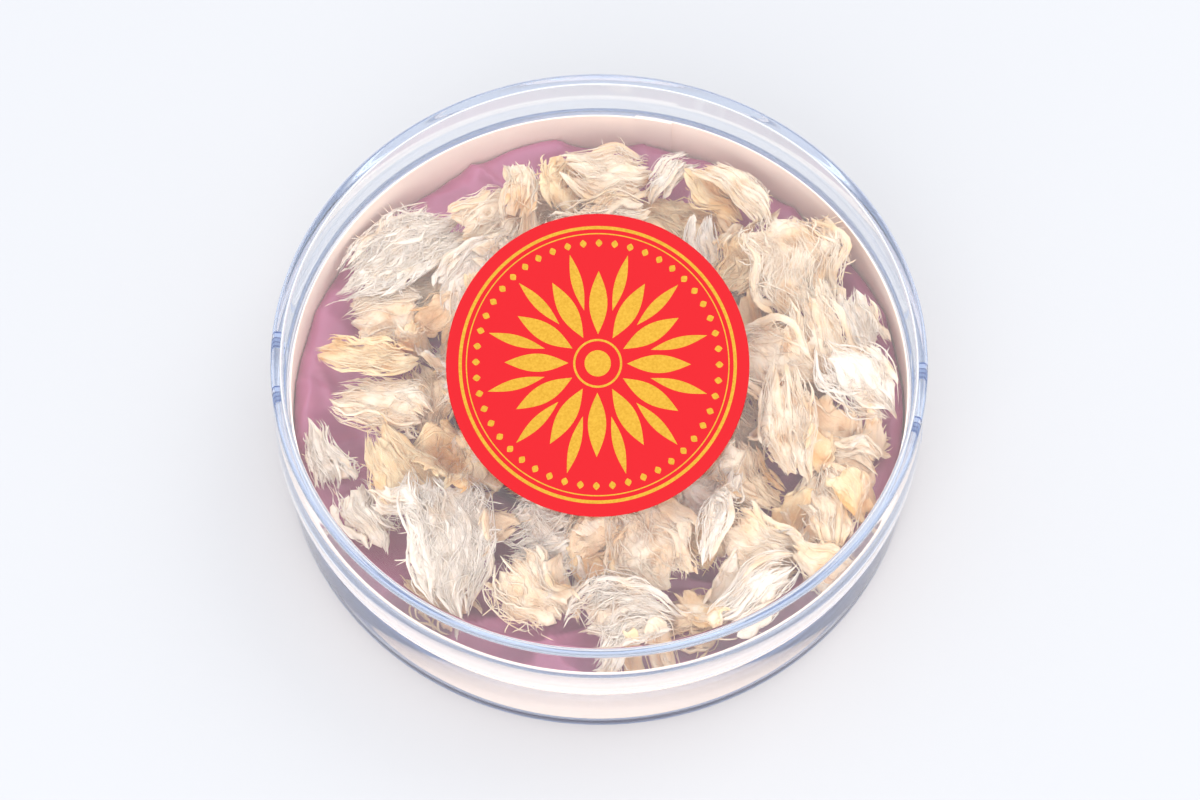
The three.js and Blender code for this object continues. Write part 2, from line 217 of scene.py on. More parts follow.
def turned(profile):
    """Points and triangles of a profile turned about Z. Its first and last points are on the axis."""
    profile = np.asarray(profile)
    angle = np.linspace(0, 2 * np.pi, TURNS, endpoint=False)
    radius = profile[1:-1, 0, None]
    height = np.broadcast_to(profile[1:-1, 1, None], (len(profile) - 2, TURNS))
    rings = np.stack([radius * np.cos(angle), radius * np.sin(angle), height], -1).reshape(-1, 3)
    points = np.vstack([rings, [0, 0, profile[0, 1]], [0, 0, profile[-1, 1]]])
    return points, capped_faces(len(profile) - 2, TURNS)


LID_RADIUS, LID_TOP = np.array(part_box("lid")[1])[[0, 2]] / MM
LID_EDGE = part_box("lid")[0][2] / MM
LID_WALL = 2.4
LID_PLATE = 2.0
LID_ROUND = 1.2
EDGE_ROUND = 0.4
LID_INSIDE = LID_RADIUS - LID_WALL
LID_UNDERSIDE = LID_TOP - LID_PLATE
lid_profile = np.vstack([
    [[0, LID_UNDERSIDE]],
    arc(LID_INSIDE - LID_ROUND, LID_UNDERSIDE - LID_ROUND, LID_ROUND, 90, 0),
    arc(LID_INSIDE + EDGE_ROUND, LID_EDGE + EDGE_ROUND, EDGE_ROUND, 180, 270),
    arc(LID_RADIUS - EDGE_ROUND, LID_EDGE + EDGE_ROUND, EDGE_ROUND, 270, 360),
    arc(LID_RADIUS - LID_ROUND, LID_TOP - LID_ROUND, LID_ROUND, 0, 90),
    [[0, LID_TOP]],
])

BASE_RADIUS = 87.2
BASE_WALL = 1.2
BASE_FLOOR = 2.4
BASE_ROUND = 1.0
BASE_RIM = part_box("base_tray")[1][2] / MM
TRAY_RADIUS = BASE_RADIUS - BASE_WALL
# The ledge that carries the lid: its top falls a little from the wall to its rounded edge
LEDGE_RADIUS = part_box("base_tray")[1][0] / MM
LEDGE_TOP = 27.1
LEDGE_FALL = 0.3
LEDGE_ROUND = 0.5
LEDGE_MIDDLE = LEDGE_TOP - LEDGE_FALL - LEDGE_ROUND
base_profile = np.vstack([
    [[0, 0]],
    arc(BASE_RADIUS - BASE_ROUND, BASE_ROUND, BASE_ROUND, -90, 0),
    [[BASE_RADIUS, LEDGE_MIDDLE - LEDGE_ROUND]],
    arc(LEDGE_RADIUS - LEDGE_ROUND, LEDGE_MIDDLE, LEDGE_ROUND, -90, 90),
    [[BASE_RADIUS, LEDGE_TOP]],
    arc(BASE_RADIUS - EDGE_ROUND, BASE_RIM - EDGE_ROUND, EDGE_ROUND, 0, 90),
    arc(TRAY_RADIUS + EDGE_ROUND, BASE_RIM - EDGE_ROUND, EDGE_ROUND, 90, 180),
    arc(TRAY_RADIUS - BASE_ROUND, BASE_FLOOR + BASE_ROUND, BASE_ROUND, 0, -90),
    [[0, BASE_FLOOR]],
])
print("lid radius", round(LID_RADIUS, 2), "top", round(LID_TOP, 2), "base rim", round(BASE_RIM, 2))

# %% [markdown]
# The box is crystal polystyrene, a hard clear plastic with a high index, 1.59, so its edges flash.
# It is moulded against polished steel and is almost perfectly smooth. Pure polystyrene yellows, and
# makers tint it a trace of blue: the 2 mm plate looks colourless, but the long way through a wall or
# an edge turns steel blue. That is what volume absorption does, so no blue paint is needed.

# The underside is different: its mould is spark eroded, so the base slides out and doesn't show
# scratches. That matt skin ends the light paths inside the floor plate, which would run on for ever.
# Its steel blue tint is painted light: the glow of light carried along inside the plate to its edge.

# %% Clear polystyrene
def clear_polystyrene():
    """Polished clear plastic: full transmission, index 1.59, and blue-tinted absorption inside."""
    material, tree = new_material("moulded_crystal_polystyrene")
    shell = add_node(tree, "ShaderNodeBsdfPrincipled", {
        "Base Color": (1, 1, 1, 1),
        "Roughness": 0.015,
        "IOR": 1.59,
        "Transmission Weight": 1.0,
    })
    body = add_node(tree, "ShaderNodeVolumeAbsorption", {"Color": (0.4, 0.6, 0.9, 1), "Density": 20.0})
    add_node(tree, "ShaderNodeOutputMaterial", {"Surface": shell, "Volume": body})
    return material


def frosted_skin_painted_edge_glow():
    """Matt moulded skin: mostly scattered light, with three grains to a millimetre. Its blue tint is
    painted light, the glow of light carried along inside the plate.
    """
    material, tree = new_material("spark_eroded_polystyrene_painted_glow")
    place = add_node(tree, "ShaderNodeTexCoord").outputs["Object"]
    _, tint = mottled(tree, place, 3.0, 2.0, "9DB8E6", "C8D8F2")
    skin = add_node(tree, "ShaderNodeBsdfPrincipled", {
        "Base Color": tint,
        "Roughness": 0.65,
        "Transmission Weight": 0.15,
    })
    add_node(tree, "ShaderNodeOutputMaterial", {"Surface": skin})
    return material


polystyrene = clear_polystyrene()

# %% [markdown]
# Light reaches the nest through the lid. A path tracer finds such light only by luck when it has to
# bend twice in clear plastic, and the heap would come out dark and speckled. The lid and base are thin
# and colourless, so they are told to cast no shadow and to let scattered light pass straight on.
# The camera still sees them bend and reflect.

# %% Lid and base
SLIT_WIDTH = 1.8
SLIT_TOP = 38.0
# Painted dark lines on the walls of the slits, in place of the edge lines that clear plastic shows by
# refraction: their spacing and width
SLIT_STEP = 4.2
SLIT_LINE = 0.9
TAB_WIDTH = 17.0
TAB_DEGREES = (-3.6, 178.8)
SLIT_ANGLES = np.array([
    math.radians(tab) + side * TAB_WIDTH / 2 / LID_RADIUS for tab in TAB_DEGREES for side in (-1, 1)
])
# What counts as a slit's wall: how much it faces sideways, and how far it may lie off the true place
WALL_FACING = 0.8
WALL_SLACK = 0.02
INSIDE_SLACK = 0.1
FOOT_HEIGHT = 0.01


def slit_edge_material():
    """Walls of the slits, left matt by the mould's slides: pale, with a thin steel blue line at the top and
    again every few millimetres down, painted in place of the dark edge lines that clear edges show by
    refraction."""
    material, tree = new_material("matt_slit_polystyrene_painted_edge_lines")
    place = add_node(tree, "ShaderNodeTexCoord").outputs["Object"]
    height = add_node(tree, "ShaderNodeSeparateXYZ", {0: place}).outputs["Z"]
    down = add_node(tree, "ShaderNodeMath", {0: SLIT_TOP * MM, 1: height}, operation="SUBTRACT")
    step = add_node(tree, "ShaderNodeMath", {0: down, 1: SLIT_STEP * MM}, operation="MODULO")
    # Painted dark edge line: the first part of each step down from the top of the slit
    line = add_node(tree, "ShaderNodeMath", {0: step, 1: SLIT_LINE * MM}, operation="LESS_THAN")
    tint = add_node(tree, "ShaderNodeMix", {
        0: line, 6: linear("B4C4E4"), 7: linear("34589E"),
    }, data_type="RGBA")
    skin = add_node(tree, "ShaderNodeBsdfPrincipled", {"Base Color": tint.outputs[2], "Roughness": 0.5})
    add_node(tree, "ShaderNodeOutputMaterial", {"Surface": skin})
    return material


def let_light_pass(piece):
    """Lamps and scattered light go straight through the piece; the camera sees it as clear plastic."""
    piece.visible_shadow = False
    piece.visible_diffuse = False


def cut_slits(piece):
    """Cuts the four slits beside the snap tabs, each a box turned to its angle, with one boolean each."""
    for turn in SLIT_ANGLES:
        bpy.ops.mesh.primitive_cube_add(size=MM)
        cutter = bpy.context.object
        cutter.matrix_world = (
            Matrix.Rotation(turn, 4, "Z")
            @ Matrix.Translation(Vector((LID_RADIUS - LID_WALL / 2, 0, LID_EDGE)) * MM)
            @ Matrix.Diagonal((3 * LID_WALL, SLIT_WIDTH, 2 * (SLIT_TOP - LID_EDGE), 1))
        )
        cut = piece.modifiers.new("slit", "BOOLEAN")
        cut.object = cutter
        cut.solver = "EXACT"
        graph = bpy.context.evaluated_depsgraph_get()
        mesh = bpy.data.meshes.new_from_object(piece.evaluated_get(graph))
        piece.modifiers.clear()
        piece.data = mesh
        bpy.data.objects.remove(cutter)
    piece.data.set_sharp_from_angle(angle=SHARP_ANGLE)


def walls_of_slits(piece):
    """Which faces are walls of a slit: they face round the lid and lie within its width of its angle."""
    places = np.array([face.center for face in piece.data.polygons]) / MM
    facing = np.array([face.normal for face in piece.data.polygons])
    angle = np.arctan2(places[:, 1], places[:, 0])
    radius = np.hypot(places[:, 0], places[:, 1])
    sideways = np.abs(facing[:, 1] * np.cos(angle) - facing[:, 0] * np.sin(angle)) > WALL_FACING
    away = (angle[:, None] - SLIT_ANGLES + np.pi) % (2 * np.pi) - np.pi
    near = (np.abs(away) * radius[:, None] < SLIT_WIDTH / 2 + WALL_SLACK).any(1)
    return near & sideways & (radius > LID_INSIDE - INSIDE_SLACK) & (places[:, 2] < SLIT_TOP)


lid = mesh_piece("clear_lid", *turned(lid_profile), polystyrene, sharp=True)
cut_slits(lid)
base = mesh_piece("clear_base", *turned(base_profile), polystyrene, sharp=True)
for piece, node in ((lid, "lid"), (base, "base_tray")):
    let_light_pass(piece)
    dress(piece, node)
lid.data.materials.append(slit_edge_material())
lid.data.polygons.foreach_set("material_index", walls_of_slits(lid).astype(np.int32))
base.data.materials.append(frosted_skin_painted_edge_glow())
underneath = [face.center.z < FOOT_HEIGHT * MM for face in base.data.polygons]
base.data.polygons.foreach_set("material_index", np.array(underneath, dtype=np.int32))
print("lid faces", len(lid.data.polygons), "base faces", len(base.data.polygons))

# %% [markdown]
# Smooth noise is what makes torn and woven things look unplanned. Blender's own noise lives in shaders
# and modifiers, but the shapes here are arrays, so a small one is written out: random heights on a
# square grid, mixed smoothly between the four nearest. It is seeded and gives the same piece each run.

# %% Noise for shapes
NOISE_GRID = 256
HEIGHTS = np.random.default_rng(11).random((NOISE_GRID, NOISE_GRID)) * 2 - 1
# Each finer noise is moved along, so that no two have a grid point in the same place
OCTAVE_SHIFT = (17.3, -9.1)


def noise(x, y):
    """Noise from -1 to 1: grid heights mixed with weights f squared times 3 minus 2 f."""
    x, y = np.broadcast_arrays(x, y)
    i, j = np.floor(x).astype(int), np.floor(y).astype(int)
    f, g = x - i, y - j
    f, g = f * f * (3 - 2 * f), g * g * (3 - 2 * g)
    i, j, right, up = (k % NOISE_GRID for k in (i, j, i + 1, j + 1))
    low = HEIGHTS[i, j] * (1 - f) + HEIGHTS[right, j] * f
    high = HEIGHTS[i, up] * (1 - f) + HEIGHTS[right, up] * f
    return low * (1 - g) + high * g


def fractal(x, y, octaves=3):
    """Noise with finer noise added, each time twice as fine and half as high."""
    dx, dy = OCTAVE_SHIFT
    return sum(noise(x * 2**k + dx * k, y * 2**k + dy * k) / 2**k for k in range(octaves))


def triangles_of(node):
    """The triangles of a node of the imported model, n by 3 corners by 3 coordinates, in mm."""
    mesh = NODES[node].data
    points = np.empty(3 * len(mesh.vertices))
    corners = np.empty(len(mesh.loops), int)
    mesh.vertices.foreach_get("co", points)
    mesh.loops.foreach_get("vertex_index", corners)
    return points.reshape(-1, 3)[corners].reshape(-1, 3, 3) / MM


def heights(triangles, x, y, touch=1e-3):
    """Lowest and highest height of the triangles at plan places: each is read where it covers one."""
    a, b, c = (triangles[:, k, :, None] for k in range(3))
    area = (b[:, 0] - a[:, 0]) * (c[:, 1] - a[:, 1]) - (c[:, 0] - a[:, 0]) * (b[:, 1] - a[:, 1])
    solid = np.abs(area) > touch
    area = np.where(solid, area, 1)
    v = ((x - a[:, 0]) * (c[:, 1] - a[:, 1]) - (c[:, 0] - a[:, 0]) * (y - a[:, 1])) / area
    w = ((b[:, 0] - a[:, 0]) * (y - a[:, 1]) - (x - a[:, 0]) * (b[:, 1] - a[:, 1])) / area
    covers = solid & (v > -touch) & (w > -touch) & (v + w < 1 + touch)
    z = a[:, 2] + v * (b[:, 2] - a[:, 2]) + w * (c[:, 2] - a[:, 2])
    return np.where(covers, z, np.inf).min(0), np.where(covers, z, -np.inf).max(0)


# %% [markdown]
# The liner is a strip of cream card, rolled into a ring inside the base with its ends lapped at the
# back. It is made as it is cut: a thin rectangle carried along a path, whose radius grows by a little
# more than the card's thickness so that one end slides behind the other.

# %% Card liner
CARD_THICK = 0.4
CARD_INSIDE = 84.7
CARD_GROWTH = 0.5
# The seam's heading and how far the ends lap, in degrees
CARD_SEAM = 83.6
CARD_LAP = 7.0
CARD_STEPS = 300
CARD_FOOT, CARD_TOP = (corner[2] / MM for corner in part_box("card_liner"))


def card_material():
    """Uncoated cream card: matt, with the faint mottle of pulp about a millimetre across."""
    material, tree = new_material("die_cut_cream_card")
    place = add_node(tree, "ShaderNodeTexCoord").outputs["Object"]
    pulp, tint = mottled(tree, place, 0.9, 4.0, "EED7CA", "F6E5DA")
    grain = add_node(tree, "ShaderNodeBump", {"Strength": 0.15, "Distance": 0.1 * MM, "Height": pulp})
    card = add_node(tree, "ShaderNodeBsdfPrincipled", {
        "Base Color": tint,
        "Roughness": 0.75,
        "Subsurface Weight": 0.2,
        "Subsurface Radius": (1.0, 0.9, 0.85),
        "Subsurface Scale": 1.5 * MM,
        "Normal": grain,
    })
    add_node(tree, "ShaderNodeOutputMaterial", {"Surface": card})
    return material


def card_strip():
    """The strip: at each step an upright rectangle, its radius growing evenly with the angle."""
    t = np.linspace(0, 1, CARD_STEPS)
    angle = np.radians(CARD_SEAM - CARD_LAP + t * (360 + CARD_LAP))
    heading = np.stack([np.cos(angle), np.sin(angle)], -1)
    radius = (CARD_INSIDE + CARD_GROWTH * t)[:, None]
    corners = [(0, CARD_FOOT), (CARD_THICK, CARD_FOOT), (CARD_THICK, CARD_TOP), (0, CARD_TOP)]
    rings = [
        np.concatenate([(radius + out) * heading, np.full((CARD_STEPS, 1), up)], -1)
        for out, up in corners
    ]
    points = np.stack(rings, 1).reshape(-1, 3)
    last = 4 * (CARD_STEPS - 1)
    ends = np.array([[0, 1, 2], [0, 2, 3], [last, last + 2, last + 1], [last, last + 3, last + 2]])
    return points, np.vstack([ring_faces(CARD_STEPS, 4)[:, ::-1], ends])


liner = mesh_piece("cream_card_liner", *card_strip(), card_material(), sharp=True)
dress(liner, "card_liner")
print("liner height in mm:", round(CARD_TOP - CARD_FOOT, 1))

# %% [markdown]
# The satin is a loose square of polyester satin laid in the tray over a light filling and pushed up
# against the card. Its sheen comes from long floating threads, so its highlights are broad and run
# along the folds. A cloth simulation would drape it smoothly, but the folds here were pushed up by hand
# and stand in crisp ridges, so they are written as a surface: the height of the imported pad, with ridges
# where the cloth gathers.

# %% Satin bed
SATIN_GAP = 0.15
SATIN_RADIUS = CARD_INSIDE - SATIN_GAP
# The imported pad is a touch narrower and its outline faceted, so it is read just inside its edge
SATIN_READ = 0.995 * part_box("satin_bed")[1][0] / MM / SATIN_RADIUS
SATIN_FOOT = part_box("satin_bed")[0][2] / MM
SATIN_ROLL = 4.5
SATIN_RINGS = 96
SATIN_TURNS = 320
SATIN_SMOOTHING = 6
# The cloth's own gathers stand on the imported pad's surface, so it starts this far below it
SATIN_SINK = 2.2
# Small pleats at the edge
PLEATS = 11
PLEAT_HEIGHT = 3.0
# The side of the pad: how far in, and how high
SATIN_SIDE = ((0, 14), (0, 5), (1.5, SATIN_FOOT))
# Gathers of the cloth: heading of the ridges in degrees, spacing and height in mm
GATHERS = ((25, 30, 4.4), (112, 26, 3.8), (158, 17, 2.8))
# A ridge swerves over this length in mm, by this share of a spacing, and its height changes over that
RIDGE_SWERVE = 38
RIDGE_BEND = 0.55
RIDGE_CHANGE = 30
# Threads are 0.12 mm apart in the cloth; 0.45 mm still shows from the camera. At scale 1 the wave
# texture repeats each 0.31 units
THREAD_SPACING = 0.45
WAVE_UNIT = 0.31


def satin_material():
    """Polyester satin in mauve: long floats make it glossy along the thread and rosy at a slant."""
    material, tree = new_material("woven_polyester_satin")
    place = add_node(tree, "ShaderNodeTexCoord").outputs["Object"]
    threads = add_node(tree, "ShaderNodeTexWave", {
        "Vector": place,
        "Scale": WAVE_UNIT / (THREAD_SPACING * MM),
        "Distortion": 0.6,
        "Detail": 1.0,
        "Detail Scale": 0.4,
    }, bands_direction="DIAGONAL")
    _, tint = mottled(tree, place, 0.045, 2.0, "A4577A", "BE7199")
    weave = add_node(tree, "ShaderNodeBump", {
        "Strength": 0.05, "Distance": 0.1 * MM, "Height": threads.outputs["Fac"],
    })
    cloth = add_node(tree, "ShaderNodeBsdfPrincipled", {
        "Base Color": tint,
        "Roughness": 0.27,
        "Specular IOR Level": 1.0,
        "Specular Tint": linear("F3C6DA"),
        "Anisotropic": 0.5,
        "Sheen Weight": 0.35,
        "Sheen Roughness": 0.4,
        "Sheen Tint": linear("F0B4D2"),
        "Normal": weave,
    })
    add_node(tree, "ShaderNodeOutputMaterial", {"Surface": cloth})
    return material


def gathered(x, y):
    """Height of the gathers: crests where a bent distance is a whole number of spacings, one minus
    its folded value, squared, so that valleys are wide and crests narrow."""
    total = 0
    for heading, spacing, height in GATHERS:
        turn = math.radians(heading)
        bend = RIDGE_BEND * fractal(x / RIDGE_SWERVE + heading, y / RIDGE_SWERVE)
        across = (x * math.sin(turn) + y * math.cos(turn)) / spacing + bend
        crest = (1 - np.abs(np.sin(np.pi * across))) ** 2
        change = 0.6 + 0.4 * noise(x / RIDGE_CHANGE + heading, y / RIDGE_CHANGE)
        total = total + height * crest * change
    return total


def satin_bed():
    """Points and triangles of the pad: rings of the top from the middle out, then down and in below."""
    triangles = triangles_of("satin_bed")
    angle = np.linspace(0, 2 * np.pi, SATIN_TURNS, endpoint=False)
    share = np.linspace(0, 1, SATIN_RINGS + 1)[1:, None] ** 0.8
    x = SATIN_RADIUS * share * np.cos(angle)
    y = SATIN_RADIUS * share * np.sin(angle)
    top = heights(triangles, x.ravel() * SATIN_READ, y.ravel() * SATIN_READ)[1].reshape(x.shape)
    for _ in range(SATIN_SMOOTHING):
        beside = np.roll(top, 1, 1) + np.roll(top, -1, 1)
        inner = np.vstack([top[:1], top[:-1]])
        outer = np.vstack([top[1:], top[-1:]])
        top = 0.4 * top + 0.2 * beside + 0.1 * (inner + outer)
    pleats = (1 - np.abs(np.sin(angle * PLEATS + 2.2 * noise(angle * 3, 0.5)))) ** 2 * share**9
    top = top - SATIN_SINK + gathered(x, y) * (1 - 0.5 * share**6) + PLEAT_HEIGHT * pleats
    # The edge rolls down as a quarter round, stopped just short of upright
    into = np.clip(SATIN_RADIUS * share - (SATIN_RADIUS - SATIN_ROLL), 0, 0.97 * SATIN_ROLL)
    rolled = SATIN_ROLL - np.sqrt(SATIN_ROLL**2 - into**2)
    points = np.stack([x, y, top - rolled], -1).reshape(-1, 3)
    heading = np.stack([np.cos(angle), np.sin(angle)], -1)
    lower = [
        np.concatenate([(SATIN_RADIUS - inset) * heading, np.full((SATIN_TURNS, 1), height)], -1)
        for inset, height in SATIN_SIDE
    ]
    points = np.vstack([points, *lower, [0, 0, top[0].mean()], [0, 0, SATIN_FOOT]])
    return points, capped_faces(SATIN_RINGS + len(SATIN_SIDE), SATIN_TURNS)[:, ::-1]


satin_points, satin_faces = satin_bed()
satin = mesh_piece("gathered_satin", satin_points, satin_faces, satin_material())
dress(satin, "satin_bed")
print("satin top in mm:", round(float(satin_points[:, 2].max()), 1))

# %% [markdown]
# A nest is built of one material: the bird lays down its saliva in wet threads, thousands of them,
# side by side in the direction in which it swings its head. Dry, they are ivory strands stuck into
# sheets, whiter where they are fine and loose, honey coloured where they are thick and fused. So a
# fragment is made the same way. Its packed form is measured first: its grain, its outline, its upper
# and lower surface. After that any strand can be laid by three numbers: along the grain, across it, and
# through the thickness.

# %% Measure a fragment
STATIONS = 33
LANES = 13
OUTER_LANE = 0.94
# The first and last station lie this far inside the tips, in mm
TIP_INSET = 0.4
# Half the thickness in mm where the grid misses the form
THIN_HALF = 0.5
# Points along and around the heart of a fragment
HEART_GRID = (54, 48)


def smoothed(field, passes):
    """The field mixed with its neighbours, several times over, so that flat facets melt away."""
    for _ in range(passes):
        ends = np.pad(field, [(1, 1)] + [(0, 0)] * (field.ndim - 1), mode="edge")
        field = 0.5 * field + 0.25 * (ends[:-2] + ends[2:])
    return field


def reach_across(sides, along, across, station):
    """Lowest and highest crossing of a station's line with the sides of the triangles, seen in plan."""
    u, v = sides @ along, sides @ across
    start, end = u[:, :1] - station, u[:, 1:] - station
    crosses = start * end <= 0
    share = start / np.where(crosses, start - end, 1)
    at = v[:, :1] + share * (v[:, 1:] - v[:, :1])
    return np.where(crosses, at, np.inf).min(0), np.where(crosses, at, -np.inf).max(0)


def measure(node, seed):
    """The fragment as fields on a small grid, grain by lane: places along and across the grain, the
    half-width, and the lower and upper surface, all in mm."""
    triangles = triangles_of(node)
    plan = triangles.reshape(-1, 3)[:, :2]
    middle = plan.mean(0)
    _, axes = np.linalg.eigh(np.cov((plan - middle).T))
    along = axes[:, 1]
    across = np.array([-along[1], along[0]])
    corners = triangles[:, :, :2] - middle
    sides = np.concatenate([corners[:, [0, 1]], corners[:, [1, 2]], corners[:, [2, 0]]])
    reach = (plan - middle) @ along
    station = np.linspace(reach.min() + TIP_INSET, reach.max() - TIP_INSET, STATIONS)
    low, high = reach_across(sides, along, across, station)
    third = STATIONS // 3
    if (high - low)[:third].mean() > (high - low)[-third:].mean():
        along, across = -along, -across
        station = -station[::-1]
        low, high = -high[::-1], -low[::-1]
    centre, half = (low + high) / 2, (high - low) / 2
    v = centre[:, None] + half[:, None] * np.linspace(-OUTER_LANE, OUTER_LANE, LANES)
    place = middle + station[:, None, None] * along + v[..., None] * across
    under, over = heights(triangles, place[..., 0].ravel(), place[..., 1].ravel())
    under, over = under.reshape(v.shape), over.reshape(v.shape)
    found = np.isfinite(under)
    share = 2 * np.maximum(found.sum(1, keepdims=True), 1)
    mean = np.where(found, under + over, 0).sum(1, keepdims=True) / share
    under, over = np.where(found, under, mean - THIN_HALF), np.where(found, over, mean + THIN_HALF)
    return {
        "middle": middle, "along": along, "across": across, "station": station, "seed": seed,
        "centre": smoothed(centre, 12), "half": smoothed(half, 8),
        "under": smoothed(smoothed(under, 6).T, 3).T, "over": smoothed(smoothed(over, 6).T, 3).T,
        "length": station[-1] - station[0], "width": 2 * half.mean(), "fine": 1.0, "heart": HEART_GRID,
    }


def between(field, s, t=None):
    """Reads a field at places from 0 to 1 along the grain, and from -1 to 1 across it, by mixing."""
    row = np.clip(s, 0, 1) * (STATIONS - 1)
    i = np.minimum(row.astype(int), STATIONS - 2)
    f = row - i
    if t is None:
        return field[i] * (1 - f) + field[i + 1] * f
    lane = (np.clip(t, -OUTER_LANE, OUTER_LANE) / OUTER_LANE + 1) / 2 * (LANES - 1)
    j = np.minimum(lane.astype(int), LANES - 2)
    g = lane - j
    near = field[i, j] * (1 - g) + field[i, j + 1] * g
    far = field[i + 1, j] * (1 - g) + field[i + 1, j + 1] * g
    return near * (1 - f) + far * f


# %% [markdown]
# A sheet of nest shrinks unevenly as it dries, so it is never flat: it has creases of about a
# centimetre, dents of half that, and its grain swerves. If every strand were given its own bends the
# piece would look like combed hair. So the crumple belongs to the fragment, and all strands that lie
# side by side share it.

# %% Crumple
CREASE_LENGTH = 13.0
CREASE_WIDTH = 6.5
CREASE_HEIGHT = 1.1
DENT_LENGTH = 4.6
DENT_WIDTH = 3.2
DENT_HEIGHT = 0.7
SWERVE = 1.5
SWERVE_LENGTH = 9.0
SWERVE_WIDTH = 7.0
# Share of the thickness that is left at the outermost lane
EDGE_SHARE = 0.25


def crumple(form, u, v):
    """Creases, one minus twice the folded value of noise, with smaller dents added."""
    seed = form["seed"]
    crease = 1 - 2 * np.abs(noise(u / CREASE_LENGTH + seed, v / CREASE_WIDTH + seed))
    dent = noise(u / DENT_LENGTH - seed, v / DENT_WIDTH + 2 * seed)
    return CREASE_HEIGHT * crease + DENT_HEIGHT * dent


def lay(form, s, t, h, lift=0.0):
    """Places in mm: s along the grain, t across it, h from the underside to the top, then lifted."""
    s, t, h = np.broadcast_arrays(s, t, h)
    seed = form["seed"]
    v = between(form["centre"], s) + between(form["half"], s) * t
    u = between(form["station"], s) + (s - np.clip(s, 0, 1)) * form["length"]
    inner = np.clip(1 - t * t, 0, 1)
    sway = SWERVE * inner * noise(u / SWERVE_LENGTH + seed, v / SWERVE_WIDTH - seed)
    plan = form["middle"] + u[..., None] * form["along"] + (v + sway)[..., None] * form["across"]
    low, high = between(form["under"], s, t), between(form["over"], s, t)
    rounded = np.sqrt(np.clip(1 - np.abs(t) ** 3, 0, 1))
    thick = (high - low) * (EDGE_SHARE + (1 - EDGE_SHARE) * rounded)
    z = (low + high) / 2 + (h - 0.5) * thick + crumple(form, u, v) * h + lift
    return np.concatenate([plan, z[..., None]], -1)


# %% [markdown]
# When a nest is torn, its strands part in bundles, and each bundle ends as a tapered arm of its own
# length. So near both ends every strand is pulled towards the lane of the nearest arm, and stops where
# that arm stops. Between the arms the edge is left open.

# %% Torn arms
ARM_SPACING = (3.0, 5.5)
ARM_COUNTS = (3, 9)
# The arms draw in the strands of this share of the grain at each end
DRAWN_SHARE = 0.5


def torn_arms(rng, width):
    """The arms of one end: their lanes, some millimetres apart, and how far short each one stops."""
    count = int(np.clip(round(width / rng.uniform(*ARM_SPACING)), *ARM_COUNTS))
    lanes = np.linspace(-0.9, 0.9, count) + rng.uniform(-0.35, 0.35, count) / count
    return lanes, rng.uniform(0, 1, count)


def bundled(form, kind, s, t, lane, goal):
    """Places s and t gathered towards the arms. The pull grows as a smooth step near each end, and the
    last part of the grain is drawn in by the length that the arm is short of."""
    for end, aim in ((0, lane), (1, goal)):
        lanes, short = form["arms"][end]
        nearest = np.abs(np.asarray(aim)[..., None] - lanes).argmin(-1)
        away = s if end == 0 else 1 - s
        pull = np.clip(1 - away / kind["arm"], 0, 1)
        pull = pull * pull * (3 - 2 * pull) * kind["clump"]
        t = t + (lanes[nearest] - t) * pull
        drawn = kind["short"] * short[nearest] * np.clip(1 - away / DRAWN_SHARE, 0, 1)
        s = s + drawn if end == 0 else s - drawn
    return s, t


# %% [markdown]
# Fused strands form the heart of a fragment: a shell with grooves along the grain and lumps across
# it. It is one loop of points carried from end to end, and its surface is pushed out and in by ridges
# that follow the grain. Where the bird's threads left a gap, a long narrow pit is pushed in.

# %% Heart of a fragment
PIT_LENGTH = 4.4
PIT_WIDTH = 1.6
PIT_DEPTH = 1.7
# The heart starts this share of the length in from each tip, and a tear takes off this much at most
HEART_INSET = 0.04
DEEPEST_TEAR = 0.3
# Its middle and half height, as shares of the fragment's thickness
HEART_MIDDLE = 0.44
HEART_HALF = 0.45


